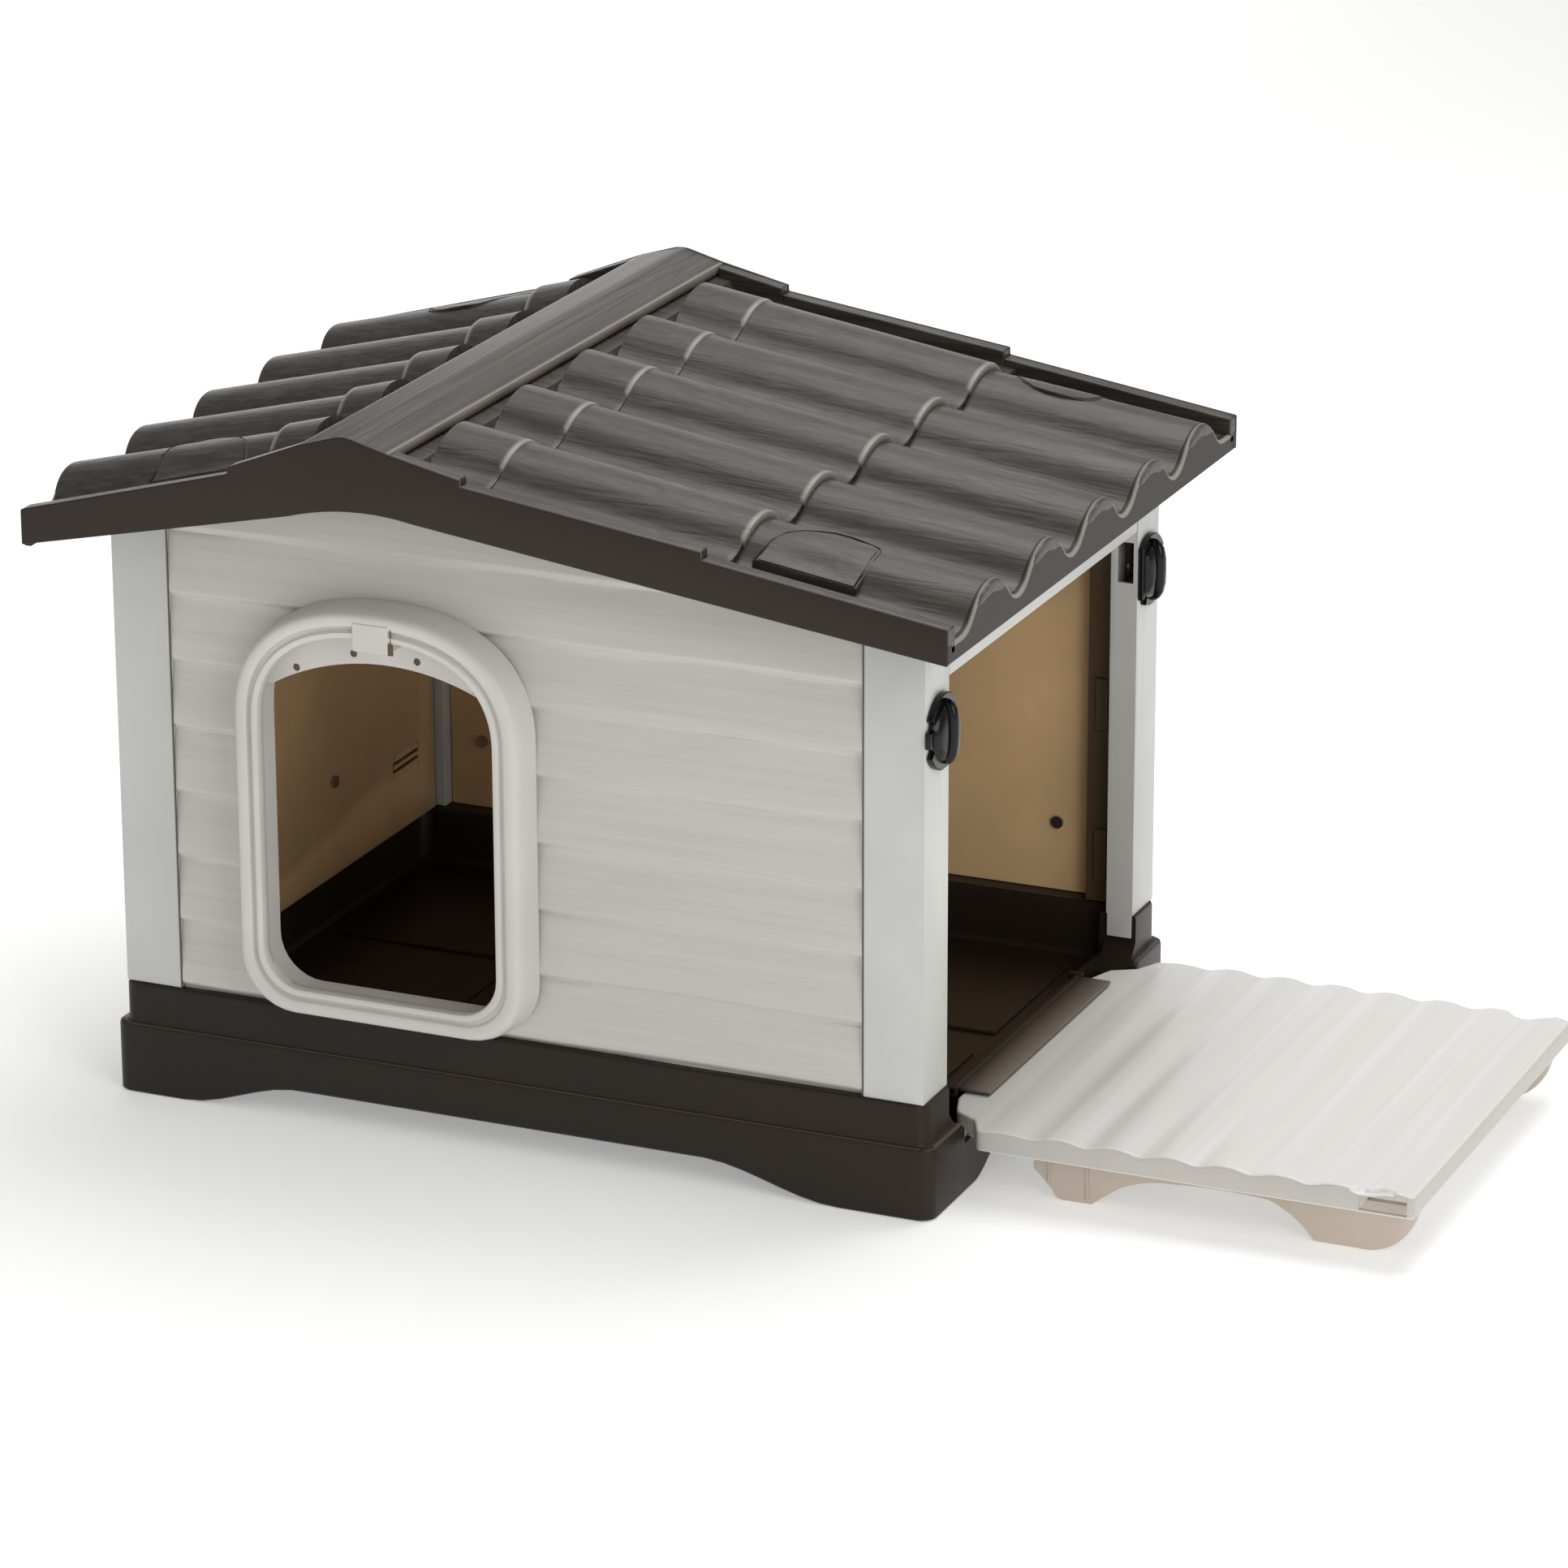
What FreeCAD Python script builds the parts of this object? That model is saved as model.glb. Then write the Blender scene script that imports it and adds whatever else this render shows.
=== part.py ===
import FreeCAD, Part
import math
import os
import re

# Moulded plastic kennel: a tray base, four corner posts, clapboard walls, an off-centre gabled roof,
# and a side panel that drops down on folding legs and is held shut by two turn latches.
# Axes: X to the right seen from the doorway, Y to the back, Z up. Lengths are millimetres.
# Outlines are drawn about the middle of the cabin; shiftX moves that to the middle of the whole part.

SIZES = [
    ("shiftX", -189, "middle of the cabin, from the middle of cabin and deck together"),
    ("roofX", 440, "half the roof's width over the eaves"),
    ("roofY", 355, "half the roof's depth over the gable boards"),
    ("boardThick", 4, "gable board"),
    ("ridgeX", -120, "the ridge stands over the doorway, left of the middle"),
    ("ridgeZ", 667.5, "top of the ridge cap"),
    ("capHalf", 43, "half the ridge cap's width"),
    ("capDrop", 10.5, "fall of the cap from its middle to its edge"),
    ("eaveZ", 532, "underside of the eaves"),
    ("tilePitch", 128, "from one barrel tile to the next"),
    ("tileRise", 25.5, "height of a barrel over its gutter"),
    ("tileSkin", 4, "thickness of the roof moulding"),
    ("railRise", 15, "verge rail over the gutter"),
    ("postX", 391, "outer face of the posts, left and right"),
    ("postY", 283, "outer face of the posts, front and back"),
    ("postWide", 56, "width of a post's face"),
    ("postSkin", 3, "wall of the hollow posts"),
    ("postTop", 546, "top of the posts, under the roof"),
    ("jambX", 365, "inner edge of the side doorway's jambs"),
    ("doorY", 229, "half the clear width of the side doorway"),
    ("headerZ", 480, "underside of the side doorway's header"),
    ("baseX", 402, "half the skirt's width"),
    ("baseY", 290, "half the skirt's depth"),
    ("stepZ", 67, "ledge round the skirt"),
    ("bandX", 394, "half width of the band above the ledge"),
    ("bandY", 286, "half depth of the band above the ledge"),
    ("bandZ", 106, "top of the band, where posts and walls stand"),
    ("trayX", 358, "inner wall of the tray, left and right"),
    ("trayY", 250, "inner wall of the tray, front and back"),
    ("floorZ", 52, "top of the tray's floor"),
    ("baseSkin", 4.5, "wall of the tray"),
    ("boardStep", 61.75, "height of one clapboard"),
    ("boardLap", 5.5, "how far a clapboard's lower lip stands out"),
    ("wallSkin", 2.5, "least thickness of a wall"),
    ("liningX", 347, "back of the left lining"),
    ("cheekY", 207, "half the notch in the sill for the lowered panel"),
    ("cheekThick", 8, "cheeks that carry the panel's hinge pins"),
    ("shoulderY", 231, "half the side doorway above its shoulders"),
    ("shoulderZ", 79, "top of the slanted shoulders"),
    ("ventY", 192, "vent in the left wall"),
    ("ventZ", 173, "vent in the left wall"),
    ("ventHalf", 29, "half the vent's length"),
    ("ventTall", 11, "half the vent's height"),
    ("eaveThick", 8, "upright plate under the eaves"),
    ("padX", 289, "half-round pads on the outer barrels, near the corner posts"),
    ("padY", 280, "half-round pads on the outer barrels, near the corner posts"),
    ("padRise", 14, "the pads' height over the gutter"),
    ("doorX", -116, "middle of the front doorway"),
    ("ringHalf", 138.8, "half width of the doorway surround"),
    ("ringFoot", 113, "bottom of the surround"),
    ("ringSpring", 385, "height where the surround's arch begins"),
    ("ringRise", 113.5, "rise of that arch"),
    ("ringDeep", 35, "how far the surround stands out of the wall"),
    ("ringWide", 24.5, "width of the surround's face"),
    ("flapHole", 2.5, "radius of the holes for hanging a door flap"),
    ("hingeX", 390, "drop-down panel's hinge"),
    ("hingeZ", 48, "drop-down panel's hinge"),
    ("hingePin", 3, "radius of the panel's hinge pins"),
    ("pinGap", 0.08, "running clearance of a hinge pin"),
    ("deckEnd", 818, "outer end of the lowered panel"),
    ("deckY", 227, "half the panel's width"),
    ("deckTop", 67, "top of the lowered panel"),
    ("deckFoot", 47.5, "bottom of the panel's apron"),
    ("deckSkin", 3, "walls and ribs of the panel"),
    ("wavePitch", 51, "from one ridge of the panel to the next"),
    ("waveRise", 3, "height of those ridges"),
    ("legAxisY", 181, "hinge of a folding leg"),
    ("legAxisZ", 43, "hinge of a folding leg"),
    ("legThick", 8.5, "thickness of a leg board"),
    ("legGap", 5.5, "leg board's inner face, outside its hinge"),
    ("legRod", 2.5, "radius of the legs' hinge rods"),
    ("knobY", 252, "turn latch, from the middle"),
    ("knobZ", 439, "turn latch's height"),
    ("knobRadius", 34, "turn latch's disc"),
    ("spindle", 5, "radius of the latch's spindle"),
    ("camReach", 35, "length of the latch's tongue"),
    ("flapX", 367, "sill flap's hinge"),
    ("flapZ", 69.5, "sill flap's hinge"),
    ("flapEnd", 400, "free edge of the sill flap"),
    ("flapY", 150, "half the sill flap's length"),
    ("flapRod", 1.6, "radius of the flap's rod"),
]

doc = FreeCAD.newDocument("Kennel")
sheet = doc.addObject("Spreadsheet::Sheet", "Sizes")
for row, (alias, value, note) in enumerate(SIZES, start=1):
    sheet.set(f"A{row}", note)
    sheet.set(f"B{row}", str(value))
    sheet.setAlias(f"B{row}", alias)
doc.recompute()
size = {alias: float(sheet.get(alias)) for alias, value, note in SIZES}

nodes = []


def bound(words):
    """An expression with each sheet alias in it pointed at the sheet."""
    return re.sub(r"[a-z][A-Za-z]+", lambda found: "Sizes." + found.group(0), str(words))


def place(item, x="0", y="0", z="0", turn=None):
    if turn is not None:
        item.Placement = FreeCAD.Placement(FreeCAD.Vector(0, 0, 0), turn)
    item.setExpression("Placement.Base.x", bound(f"shiftX + ({x})"))
    item.setExpression("Placement.Base.y", bound(f"0 + ({y})"))
    item.setExpression("Placement.Base.z", bound(f"0 + ({z})"))
    return item


def box(name, x, y, z):
    """A block from pairs of low and high expressions."""
    item = doc.addObject("Part::Box", name)
    for side, (low, high) in zip(("Length", "Width", "Height"), (x, y, z)):
        item.setExpression(side, bound(f"({high}) - ({low})"))
    return place(item, x[0], y[0], z[0])


TURNS = {"X": FreeCAD.Rotation(FreeCAD.Vector(0, 1, 0), 90),
         "Y": FreeCAD.Rotation(FreeCAD.Vector(1, 0, 0), -90),
         "Z": FreeCAD.Rotation()}


def rod(name, along, radius, length, x, y, z):
    """A cylinder that starts at x, y, z and runs along +X, +Y or +Z."""
    item = doc.addObject("Part::Cylinder", name)
    item.setExpression("Radius", bound(radius))
    item.setExpression("Height", bound(length))
    return place(item, x, y, z, TURNS[along])


def fuse(name, items):
    item = doc.addObject("Part::MultiFuse", name)
    item.Shapes = items
    item.Refine = True
    return item


def cut(name, base, tools):
    item = doc.addObject("Part::Cut", name)
    item.Base = base
    item.Tool = tools[0] if len(tools) == 1 else fuse(name + "Tools", tools)
    item.Refine = True
    return item


def common(name, first, second):
    item = doc.addObject("Part::Common", name)
    item.Base = first
    item.Tool = second
    item.Refine = True
    return item


def draw(sketch, outline):
    """Closed outline of corners (a, b); a third entry marks the middle of an arc instead."""
    count = len(outline)
    index = 0
    while index < count:
        start, middle = outline[index], outline[(index + 1) % count]
        if len(middle) == 3:
            end = outline[(index + 2) % count]
            points = [FreeCAD.Vector(point[0], point[1], 0) for point in (start, middle, end)]
            sketch.addGeometry(Part.Arc(*points))
            index += 2
        else:
            points = [FreeCAD.Vector(point[0], point[1], 0) for point in (start, middle)]
            sketch.addGeometry(Part.LineSegment(*points))
            index += 1


def plate(name, plane, outlines, start, length, at=("0", "0", "0"), turn=None):
    """A PartDesign body: outlines in the XY, XZ or YZ plane, padded from start along +Z, +Y or +X."""
    item = doc.addObject("PartDesign::Body", name)
    role = plane + "_Plane"
    origin = [feature for feature in item.Origin.OriginFeatures if feature.Role == role][0]
    sketch = item.newObject("Sketcher::SketchObject", name + "Outline")
    sketch.AttachmentSupport = (origin, [""])
    sketch.MapMode = "FlatFace"
    for outline in outlines:
        draw(sketch, outline)
    pad = item.newObject("PartDesign::Pad", name + "Pad")
    pad.Profile = sketch
    pad.setExpression("Length", bound(length))
    pad.Reversed = plane == "XZ"
    item.Tip = pad
    where = list(at)
    axis = {"XY": 2, "XZ": 1, "YZ": 0}[plane]
    where[axis] = f"({where[axis]}) + ({start})"
    return place(item, *where, turn)


def keep(item, label):
    item.Label = label
    nodes.append(item)
    return item


def ringOfBoxes(name, outer, inner, z):
    """What lies between two upright rectangles centred on the cabin."""
    full = box(name + "Full", *[(f"-({half})", half) for half in outer], z)
    core = box(name + "Core", *[(f"-({half})", half) for half in inner], (f"({z[0]}) - 1", f"({z[1]}) + 1"))
    return cut(name, full, [core])


# ---- base tray: skirt, ledge, band, double wall, floor, feet between arches
skirt = box("skirt", ("-baseX", "baseX"), ("-baseY", "baseY"), (0, "stepZ"))
band = box("band", ("-bandX", "bandX"), ("-bandY", "bandY"), ("stepZ - 2", "bandZ"))
well = box("well", ("-trayX", "trayX"), ("-trayY", "trayY"), ("floorZ", "bandZ + 1"))
under = box("under", ("-trayX + baseSkin", "trayX - baseSkin"), ("-trayY + baseSkin", "trayY - baseSkin"),
            (-1, "floorZ - baseSkin"))
wallHollow = ringOfBoxes("wallHollow", ("bandX - baseSkin", "bandY - baseSkin"),
                         ("trayX + baseSkin", "trayY + baseSkin"), (-1, "bandZ - baseSkin"))
skirtHollow = ringOfBoxes("skirtHollow", ("baseX - baseSkin", "baseY - baseSkin"),
                          ("trayX + baseSkin", "trayY + baseSkin"), (-1, "stepZ - baseSkin"))
traySolid = cut("traySolid", fuse("trayOutside", [skirt, band]), [well, under, wallHollow, skirtHollow])

archTop = 26.5
frontArch = [(-332, -1), (-332, 0), (-285, 14, "arc"), (-222, 24.5), (-20, archTop, "arc"), (185, 24.5),
             (255, 15.5, "arc"), (312, 0), (312, -1)]
sideArch = [(-190, -1), (-190, 0), (-160, 13, "arc"), (-120, 23), (0, archTop, "arc"), (120, 23),
            (160, 13, "arc"), (190, 0), (190, -1)]
archFrontBack = plate("archFrontBack", "XZ", [frontArch], "-baseY - 1", "2 * baseY + 2")
archSides = plate("archSides", "YZ", [sideArch], "-baseX - 1", "2 * baseX + 2")

# cheeks that carry the panel's hinge pins, and the lugs of the sill flap's rod
cheekY, shoulderY, shoulderZ = size["cheekY"], size["shoulderY"], size["shoulderZ"]
cheeks = []
for side, name in ((-1, "Front"), (1, "Rear")):
    inner, outer = sorted((side * cheekY, side * (cheekY + size["cheekThick"])))
    cheeks.append(box("cheek" + name, ("trayX + baseSkin - 1", "baseX - 1"), (inner, outer), (20, "stepZ - 4")))
    inner, outer = sorted((side * 151, side * 157))
    cheeks.append(box("lug" + name, ("trayX", "flapX + 4"), (inner, outer), ("stepZ - 1", "flapZ + 3.5")))

# the side doorway: the band falls away in slanted shoulders, and the skirt is notched for the panel
mouth = [(-shoulderY, 110), (-shoulderY, shoulderZ), (-cheekY, 55), (-cheekY, 30),
         (cheekY, 30), (cheekY, 55), (shoulderY, shoulderZ), (shoulderY, 110)]
notch = [(-shoulderY, 110), (-shoulderY, shoulderZ), (-215, 63), (-215, 46.5),
         (215, 46.5), (215, 63), (shoulderY, shoulderZ), (shoulderY, 110)]
doorMouth = plate("doorMouth", "YZ", [mouth], "trayX + baseSkin", "29")
doorNotch = plate("doorNotch", "YZ", [notch], "hingeX + 1.4", "20")
sillCut = box("sillCut", ("trayX - 1", "trayX + baseSkin + 0.1"), ("-shoulderY", "shoulderY"), ("stepZ", "bandZ + 1"))
pinHoles = rod("pinHoles", "Y", "hingePin", 436, "hingeX", -218, "hingeZ")
rodHoles = rod("rodHoles", "Y", "flapRod", 314, "flapX", -157, "flapZ")
trayOpen = cut("trayOpen", traySolid, [doorMouth, doorNotch, sillCut])
trayTrim = cut("trayTrim", fuse("trayLugs", [trayOpen] + cheeks), [archFrontBack, archSides, pinHoles, rodHoles])
trayPads = [trayTrim]
for index, (x, wide) in enumerate(((-240, 190), (0, 190), (240, 190))):
    for end in (-1, 1):
        trayPads.append(box(f"pad{index}{'Front' if end < 0 else 'Rear'}", (x - wide / 2, x + wide / 2),
                            (end * 120 - 95, end * 120 + 95), ("floorZ - 1", "floorZ + 3")))
keep(fuse("baseTray", trayPads), "base_tray")

hingePins = [rod(f"hingePin{name}", "Y", "hingePin", 25, "hingeX", y, "hingeZ")
             for name, y in (("Front", -215), ("Rear", 190))]
keep(fuse("hingePins", hingePins), "panel_hinge_pins")

# ---- corner posts: hollow, L-shaped in plan, with the latch's spindle hole and window on the right
inner, skin = size["postWide"], size["postSkin"]
for end, endName in ((-1, "front"), (1, "rear")):
    for side, sideName in ((-1, "left"), (1, "right")):
        outX, outY = size["postX"], size["postY"]
        inX, inY = outX - inner, outY - inner + 2
        kneeX, kneeY = size["jambX"], outY - 26
        shell = [(inX, outY), (outX, outY), (outX, inY), (kneeX, inY), (kneeX, kneeY), (inX, kneeY)]
        hollow = [(inX + skin, outY - skin), (outX - skin, outY - skin), (outX - skin, inY + skin),
                  (kneeX + skin, inY + skin), (kneeX + skin, kneeY + skin), (inX + skin, kneeY + skin)]
        name = endName + sideName.title() + "Post"
        outlines = [[(side * x, end * y) for x, y in outline] for outline in (shell, hollow)]
        post = plate(name, "XY", outlines, "bandZ", "postTop - bandZ")
        cap = plate(name + "Cap", "XY", outlines[:1], "postTop - 3", "3")
        whole = fuse(name + "Whole", [post, cap])
        if side > 0:
            tab = box(name + "Tab", ("jambX + 1", "postX - 1"), tuple(sorted((end * inY, end * (inY + 1.6)))),
                      ("shoulderZ + 5", "bandZ + 4"))
            whole = fuse(name + "Tabbed", [whole, tab])
            hole = rod(name + "Hole", "X", "spindle + pinGap", 8, "postX - 5", f"{end} * knobY", "knobZ")
            window = box(name + "Window", ("postX - 20", "postX - 4"),
                         tuple(sorted((end * (inY - 1), end * (inY + 4)))), ("knobZ - 9", "knobZ + 30"))
            whole = cut(name + "Bored", whole, [hole, window])
        keep(whole, f"{endName}_{sideName}_post")


# ---- walls: lapped boards, each a shallow arc whose lower lip stands proud
def boardProfile(face, outwards, low, high):
    """Section of a clapboard wall in (depth, Z), its lips at face, outwards is -1 or 1."""
    lap, back = size["boardLap"], face - outwards * (size["boardLap"] + size["wallSkin"])
    section = [(back, low)]
    foot = low
    while foot < high - 1:
        head = min(foot + size["boardStep"], high)
        section += [(face - outwards * 1.5, foot), (face, foot + 5, "arc"),
                    (face - outwards * 1.2, foot + 12), (face - outwards * lap * 0.75, (foot + 12 + head) / 2, "arc"),
                    (face - outwards * lap, head)]
        foot = head
    return section + [(back, high)]


gable = [(-334.5, 100), (334.5, 100), (334.5, 556), (-60, 610), (-120, 618, "arc"), (-178, 606), (-334.5, 566)]
longWalls = {}
for end, name in ((-1, "front"), (1, "rear")):
    boards = plate(name + "Boards", "YZ", [boardProfile(end * size["postY"], end, size["bandZ"], 620)], -334.5, 669)
    shape = plate(name + "Gable", "XZ", [gable], -300, 600)
    longWalls[name] = common(name + "Wall", boards, shape)
keep(longWalls["rear"], "rear_wall")


# ---- front doorway: the surround's outline is straight below and a superellipse above
def surround(inset, foot=None):
    """The doorway's outline, inset from the outer edge of the surround."""
    half, rise = size["ringHalf"] - inset, size["ringRise"] - inset
    middle, spring = size["doorX"], size["ringSpring"]
    foot = size["ringFoot"] + inset if foot is None else foot
    corner = 52 - inset * 0.6
    bend = corner * (1 - math.sqrt(0.5))
    power = 2.35

    def crown(part):
        return spring + rise * (1 - abs(part) ** power) ** (1 / power)

    steps = [-1, -0.95, -0.8, -0.45, 0, 0.45, 0.8, 0.95, 1]
    arch = []
    for index, part in enumerate(steps):
        point = (middle + part * half, crown(part))
        arch.append(point if index % 2 == 0 else point + ("arc",))
    left, right = middle - half, middle + half
    return arch + [(right, foot + corner), (right - bend, foot + bend, "arc"), (right - corner, foot),
                   (left + corner, foot), (left + bend, foot + bend, "arc"), (left, foot + corner)]


ringFace = plate("ringFace", "XZ", [surround(0), surround(size["ringWide"])],
                 "-postY - ringDeep", "ringDeep - 0.3")
ringNeck = plate("ringNeck", "XZ", [surround(14), surround(size["ringWide"])], "-postY - 1", "13")
lipHalf = size["ringHalf"] - size["ringWide"]
lip = [(size["doorX"] - lipHalf, 400), (size["doorX"] - lipHalf, 412), (size["doorX"], 443.5, "arc"),
       (size["doorX"] + lipHalf, 412), (size["doorX"] + lipHalf, 400), (size["doorX"] + lipHalf + 5, 400),
       (size["doorX"] + lipHalf + 5, 500), (size["doorX"] - lipHalf - 5, 500), (size["doorX"] - lipHalf - 5, 400)]
lipPlate = common("lipPlate", plate("lipWide", "XZ", [lip], "-postY - 8", "4"),
                  plate("lipBound", "XZ", [surround(size["ringWide"] - 1)], "-postY - 9", "6"))
flapHoles = [rod(f"flapHole{index}", "Y", "flapHole", 12, f"doorX + {across}", "-postY - 12", height)
             for index, (across, height) in enumerate(((-88, 431), (-31, 451), (31, 451), (88, 431)))]
keep(cut("doorSurround", fuse("ringWhole", [ringFace, ringNeck, lipPlate]), flapHoles), "door_surround")
doorCut = plate("doorCut", "XZ", [surround(13.5)], "-postY - 5", "30")
keep(cut("frontWall", longWalls["front"], [doorCut]), "front_wall")

leftBoards = plate("leftBoards", "XZ", [boardProfile(-size["postX"], -1, size["bandZ"], 546)],
                   "-postY + postWide - 1.5", "2 * postY - 2 * postWide + 3")


def ventOval(margin):
    """Outline of the oval vent in (Y, Z), smaller by a margin all round."""
    reach, tall = size["ventHalf"] - margin, size["ventTall"] - margin
    middle, height = size["ventY"], size["ventZ"]
    side = reach - tall
    return [(middle - side, height - tall), (middle + side, height - tall), (middle + reach, height, "arc"),
            (middle + side, height + tall), (middle - side, height + tall), (middle - reach, height, "arc")]


ventHole = plate("ventHole", "YZ", [ventOval(0)], "-postX - 5", "30")
keep(cut("leftWall", leftBoards, [ventHole]), "left_wall")
ventDisc = plate("ventDisc", "YZ", [ventOval(0.5)], "-postX + 3.5", "6")
ventRim = plate("ventRim", "YZ", [ventOval(-5)], "-postX + boardLap + wallSkin", "3")
ventSlots = [box(f"ventSlot{index}", ("-postX", "-postX + 20"), ("ventY - 18", "ventY + 18"),
                 (f"ventZ + {6 * index} - 1.6", f"ventZ + {6 * index} + 1.6")) for index in (-1, 0, 1)]
keep(cut("vent", fuse("ventWhole", [ventDisc, ventRim]), ventSlots), "vent_grille")

headerBlock = box("headerBlock", ("jambX", "postX"), ("-doorY + 1.5", "doorY - 1.5"), ("headerZ", "postTop"))
headerHollow = box("headerHollow", ("jambX - 1", "postX - postSkin"), ("-doorY + 4.5", "doorY - 4.5"),
                   ("headerZ + postSkin", "postTop - postSkin"))
keep(cut("header", headerBlock, [headerHollow]), "side_header")

# ---- smooth lining panels inside the clapboards, with their screws
keep(box("rearLining", (-334, 334), ("postY - 13", "postY - 10"), ("bandZ + 0.5", "postTop - 8")), "rear_lining")
frontLining = box("frontLiningFull", (-334, 334), ("-postY + 10", "-postY + 13"), ("bandZ + 0.5", "postTop - 8"))
liningCut = plate("liningCut", "XZ", [surround(13)], "-postY", "30")
keep(cut("frontLining", frontLining, [liningCut]), "front_lining")
leftLining = box("leftLiningFull", ("-liningX", "-liningX + 3"), ("-postY + 30", "postY - 30"),
                 ("bandZ + 0.5", "postTop - 8"))
liningVent = plate("liningVent", "YZ", [ventOval(0)], "-postX", "60")
keep(cut("leftLining", leftLining, [liningVent]), "left_lining")
screws = []
for index, (x, z) in enumerate(((-300, 174), (300, 174), (-300, 480), (300, 480))):
    for end, name in ((1, "Rear"), (-1, "Front")):
        face = "postY - 16" if end > 0 else "-postY + 13"
        screws.append(rod(f"screw{name}{index}", "Y", 6, 3, x, face, z))
for index, (y, z) in enumerate(((-200, 200), (40, 200), (-200, 480), (200, 480))):
    screws.append(rod(f"screwLeft{index}", "X", 6, 3, "-liningX + 3", y, z))
keep(fuse("liningScrews", screws), "lining_screws")


# ---- roof: barrel tiles in courses, each course lapping the one below it
def waveLine(lift):
    """Top of the tiles across the roof in (Y, height): rail, gutter, five barrels, gutter, rail."""
    half = size["roofY"] - size["boardThick"]
    pitch, rise = size["tilePitch"], size["tileRise"]
    line = [(-half + 10, lift), (-2.5 * pitch, lift)]
    for index in range(-2, 3):
        crest = index * pitch
        line += [(crest - 55, 4 + lift), (crest, rise + lift, "arc"), (crest + 55, 4 + lift)]
        if index < 2:
            line.append((crest + pitch / 2, lift, "arc"))
    return line + [(2.5 * pitch, lift), (half - 10, lift)]


def tileOutline(depth=None):
    """Section of the roof moulding; with a depth it is filled down to that depth instead."""
    half, rail, skin = size["roofY"] - size["boardThick"], size["railRise"], size["tileSkin"]
    top = [(-half, rail), (-half + 10, rail)] + waveLine(0) + [(half - 10, rail), (half, rail)]
    if depth is None:
        return top + [(half, -skin)] + waveLine(-skin)[::-1] + [(-half, -skin)]
    return top + [(half, -depth), (-half, -depth)]



def roofSlope(name, side, courses, rise):
    """One side of the roof: side is 1 for right; courses are (low X, high X, gutter Z at the low end)."""
    angle = math.degrees(math.atan(rise))
    turn = FreeCAD.Rotation(FreeCAD.Vector(0, 1, 0), -angle)
    if side > 0:
        turn = FreeCAD.Rotation(FreeCAD.Vector(0, 0, 1), 180).multiply(turn)
    pieces = []
    for index, (low, high, gutter) in enumerate(courses):
        run = abs(low - high) / math.cos(math.radians(angle))
        tuck = 9 if index < len(courses) - 1 else 0
        pieces.append(plate(f"{name}Course{index}", "YZ", [tileOutline()], 0, run + tuck,
                            (low, 0, gutter), turn))
        if index > 0:
            pieces.append(plate(f"{name}Riser{index}", "YZ", [tileOutline(11)], 0, 3, (low, 0, gutter), turn))
    low, high, gutter = courses[-1]
    top = gutter + abs(low - high) * rise
    half = size["roofY"] - size["boardThick"]
    apron = [(-half, -4), (-half, 0), (half, 0), (half, -4)]
    toRidge = (abs(high - size["ridgeX"]) - 1) / math.cos(math.radians(angle))
    pieces.append(plate(name + "Apron", "YZ", [apron], 0, toRidge, (high + side * 2, 0, top - 2 * rise), turn))
    pieces.append(plate(name + "Stop", "YZ", [tileOutline(3)], 0, 3, (high + side * 3, 0, top - 3 * rise), turn))
    padX = size["padX"]
    for end in (-1, 1):
        outline = [(-48, -27), (48, -27), (48, 21), (2, 37, "arc"), (-48, 0)]
        outline = [(side * point[0], -end * point[1]) + point[2:] for point in outline]
        flatTurn = FreeCAD.Rotation(FreeCAD.Vector(0, 1, 0), side * angle)
        pieces.append(plate(f"{name}Pad{'Front' if end < 0 else 'Rear'}", "XY", [outline], 0, "padRise",
                            (side * padX, f"{end} * padY", courses[0][2] + rise * (abs(courses[0][0]) - padX)), flatTurn))
    eaveLow, eaveHigh = sorted((side * size["roofX"], side * (size["roofX"] - size["eaveThick"])))
    pieces.append(plate(name + "Eave", "YZ", [tileOutline(courses[0][2] - size["eaveZ"])], eaveLow,
                        eaveHigh - eaveLow, (0, 0, courses[0][2])))
    return fuse(name, pieces)


keep(roofSlope("rightSlope", 1, [(435.5, 228, 549), (228, 2, 589), (2, -62, 626)], 0.155), "roof_right_slope")
keep(roofSlope("leftSlope", -1, [(-433, -221, 552), (-221, -178, 616)], 0.27), "roof_left_slope")

capX, half = size["ridgeX"], size["capHalf"]
capTop, capEdge = size["ridgeZ"], size["ridgeZ"] - size["capDrop"]
capLine = [(capX - half, capEdge - 8), (capX - half, capEdge), (capX - 8, capTop - 1), (capX, capTop, "arc"),
           (capX + 8, capTop - 1), (capX + half, capEdge), (capX + half, capEdge - 8),
           (capX + 8, capTop - 9), (capX, capTop - 8, "arc"), (capX - 8, capTop - 9)]
keep(plate("ridgeCap", "XZ", [capLine], "-roofY + boardThick + 0.1", "2 * roofY - 2 * boardThick - 0.2"),
     "ridge_cap")

board = [(-440, 533.5), (-175, 590.5), (-114, 601.3, "arc"), (-55, 597.3), (440, 532), (440, 564), (215, 598),
         (215, 605), (-10, 636), (-10, 642), (capX + half, capEdge), (capX + 8, capTop - 1), (capX, capTop, "arc"),
         (capX - 8, capTop - 1), (capX - half, capEdge - 1), (-233, 628), (-233, 622), (-440, 566)]
keep(plate("frontBoard", "XZ", [board], "-roofY", "boardThick"), "front_gable_board")
keep(plate("rearBoard", "XZ", [board], "roofY - boardThick", "boardThick"), "rear_gable_board")

# ---- drop-down panel: wavy skin, apron, ribs, hinge bosses, latch pockets and the legs' ears
deckY, deckEnd = size["deckY"], size["deckEnd"]


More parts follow.
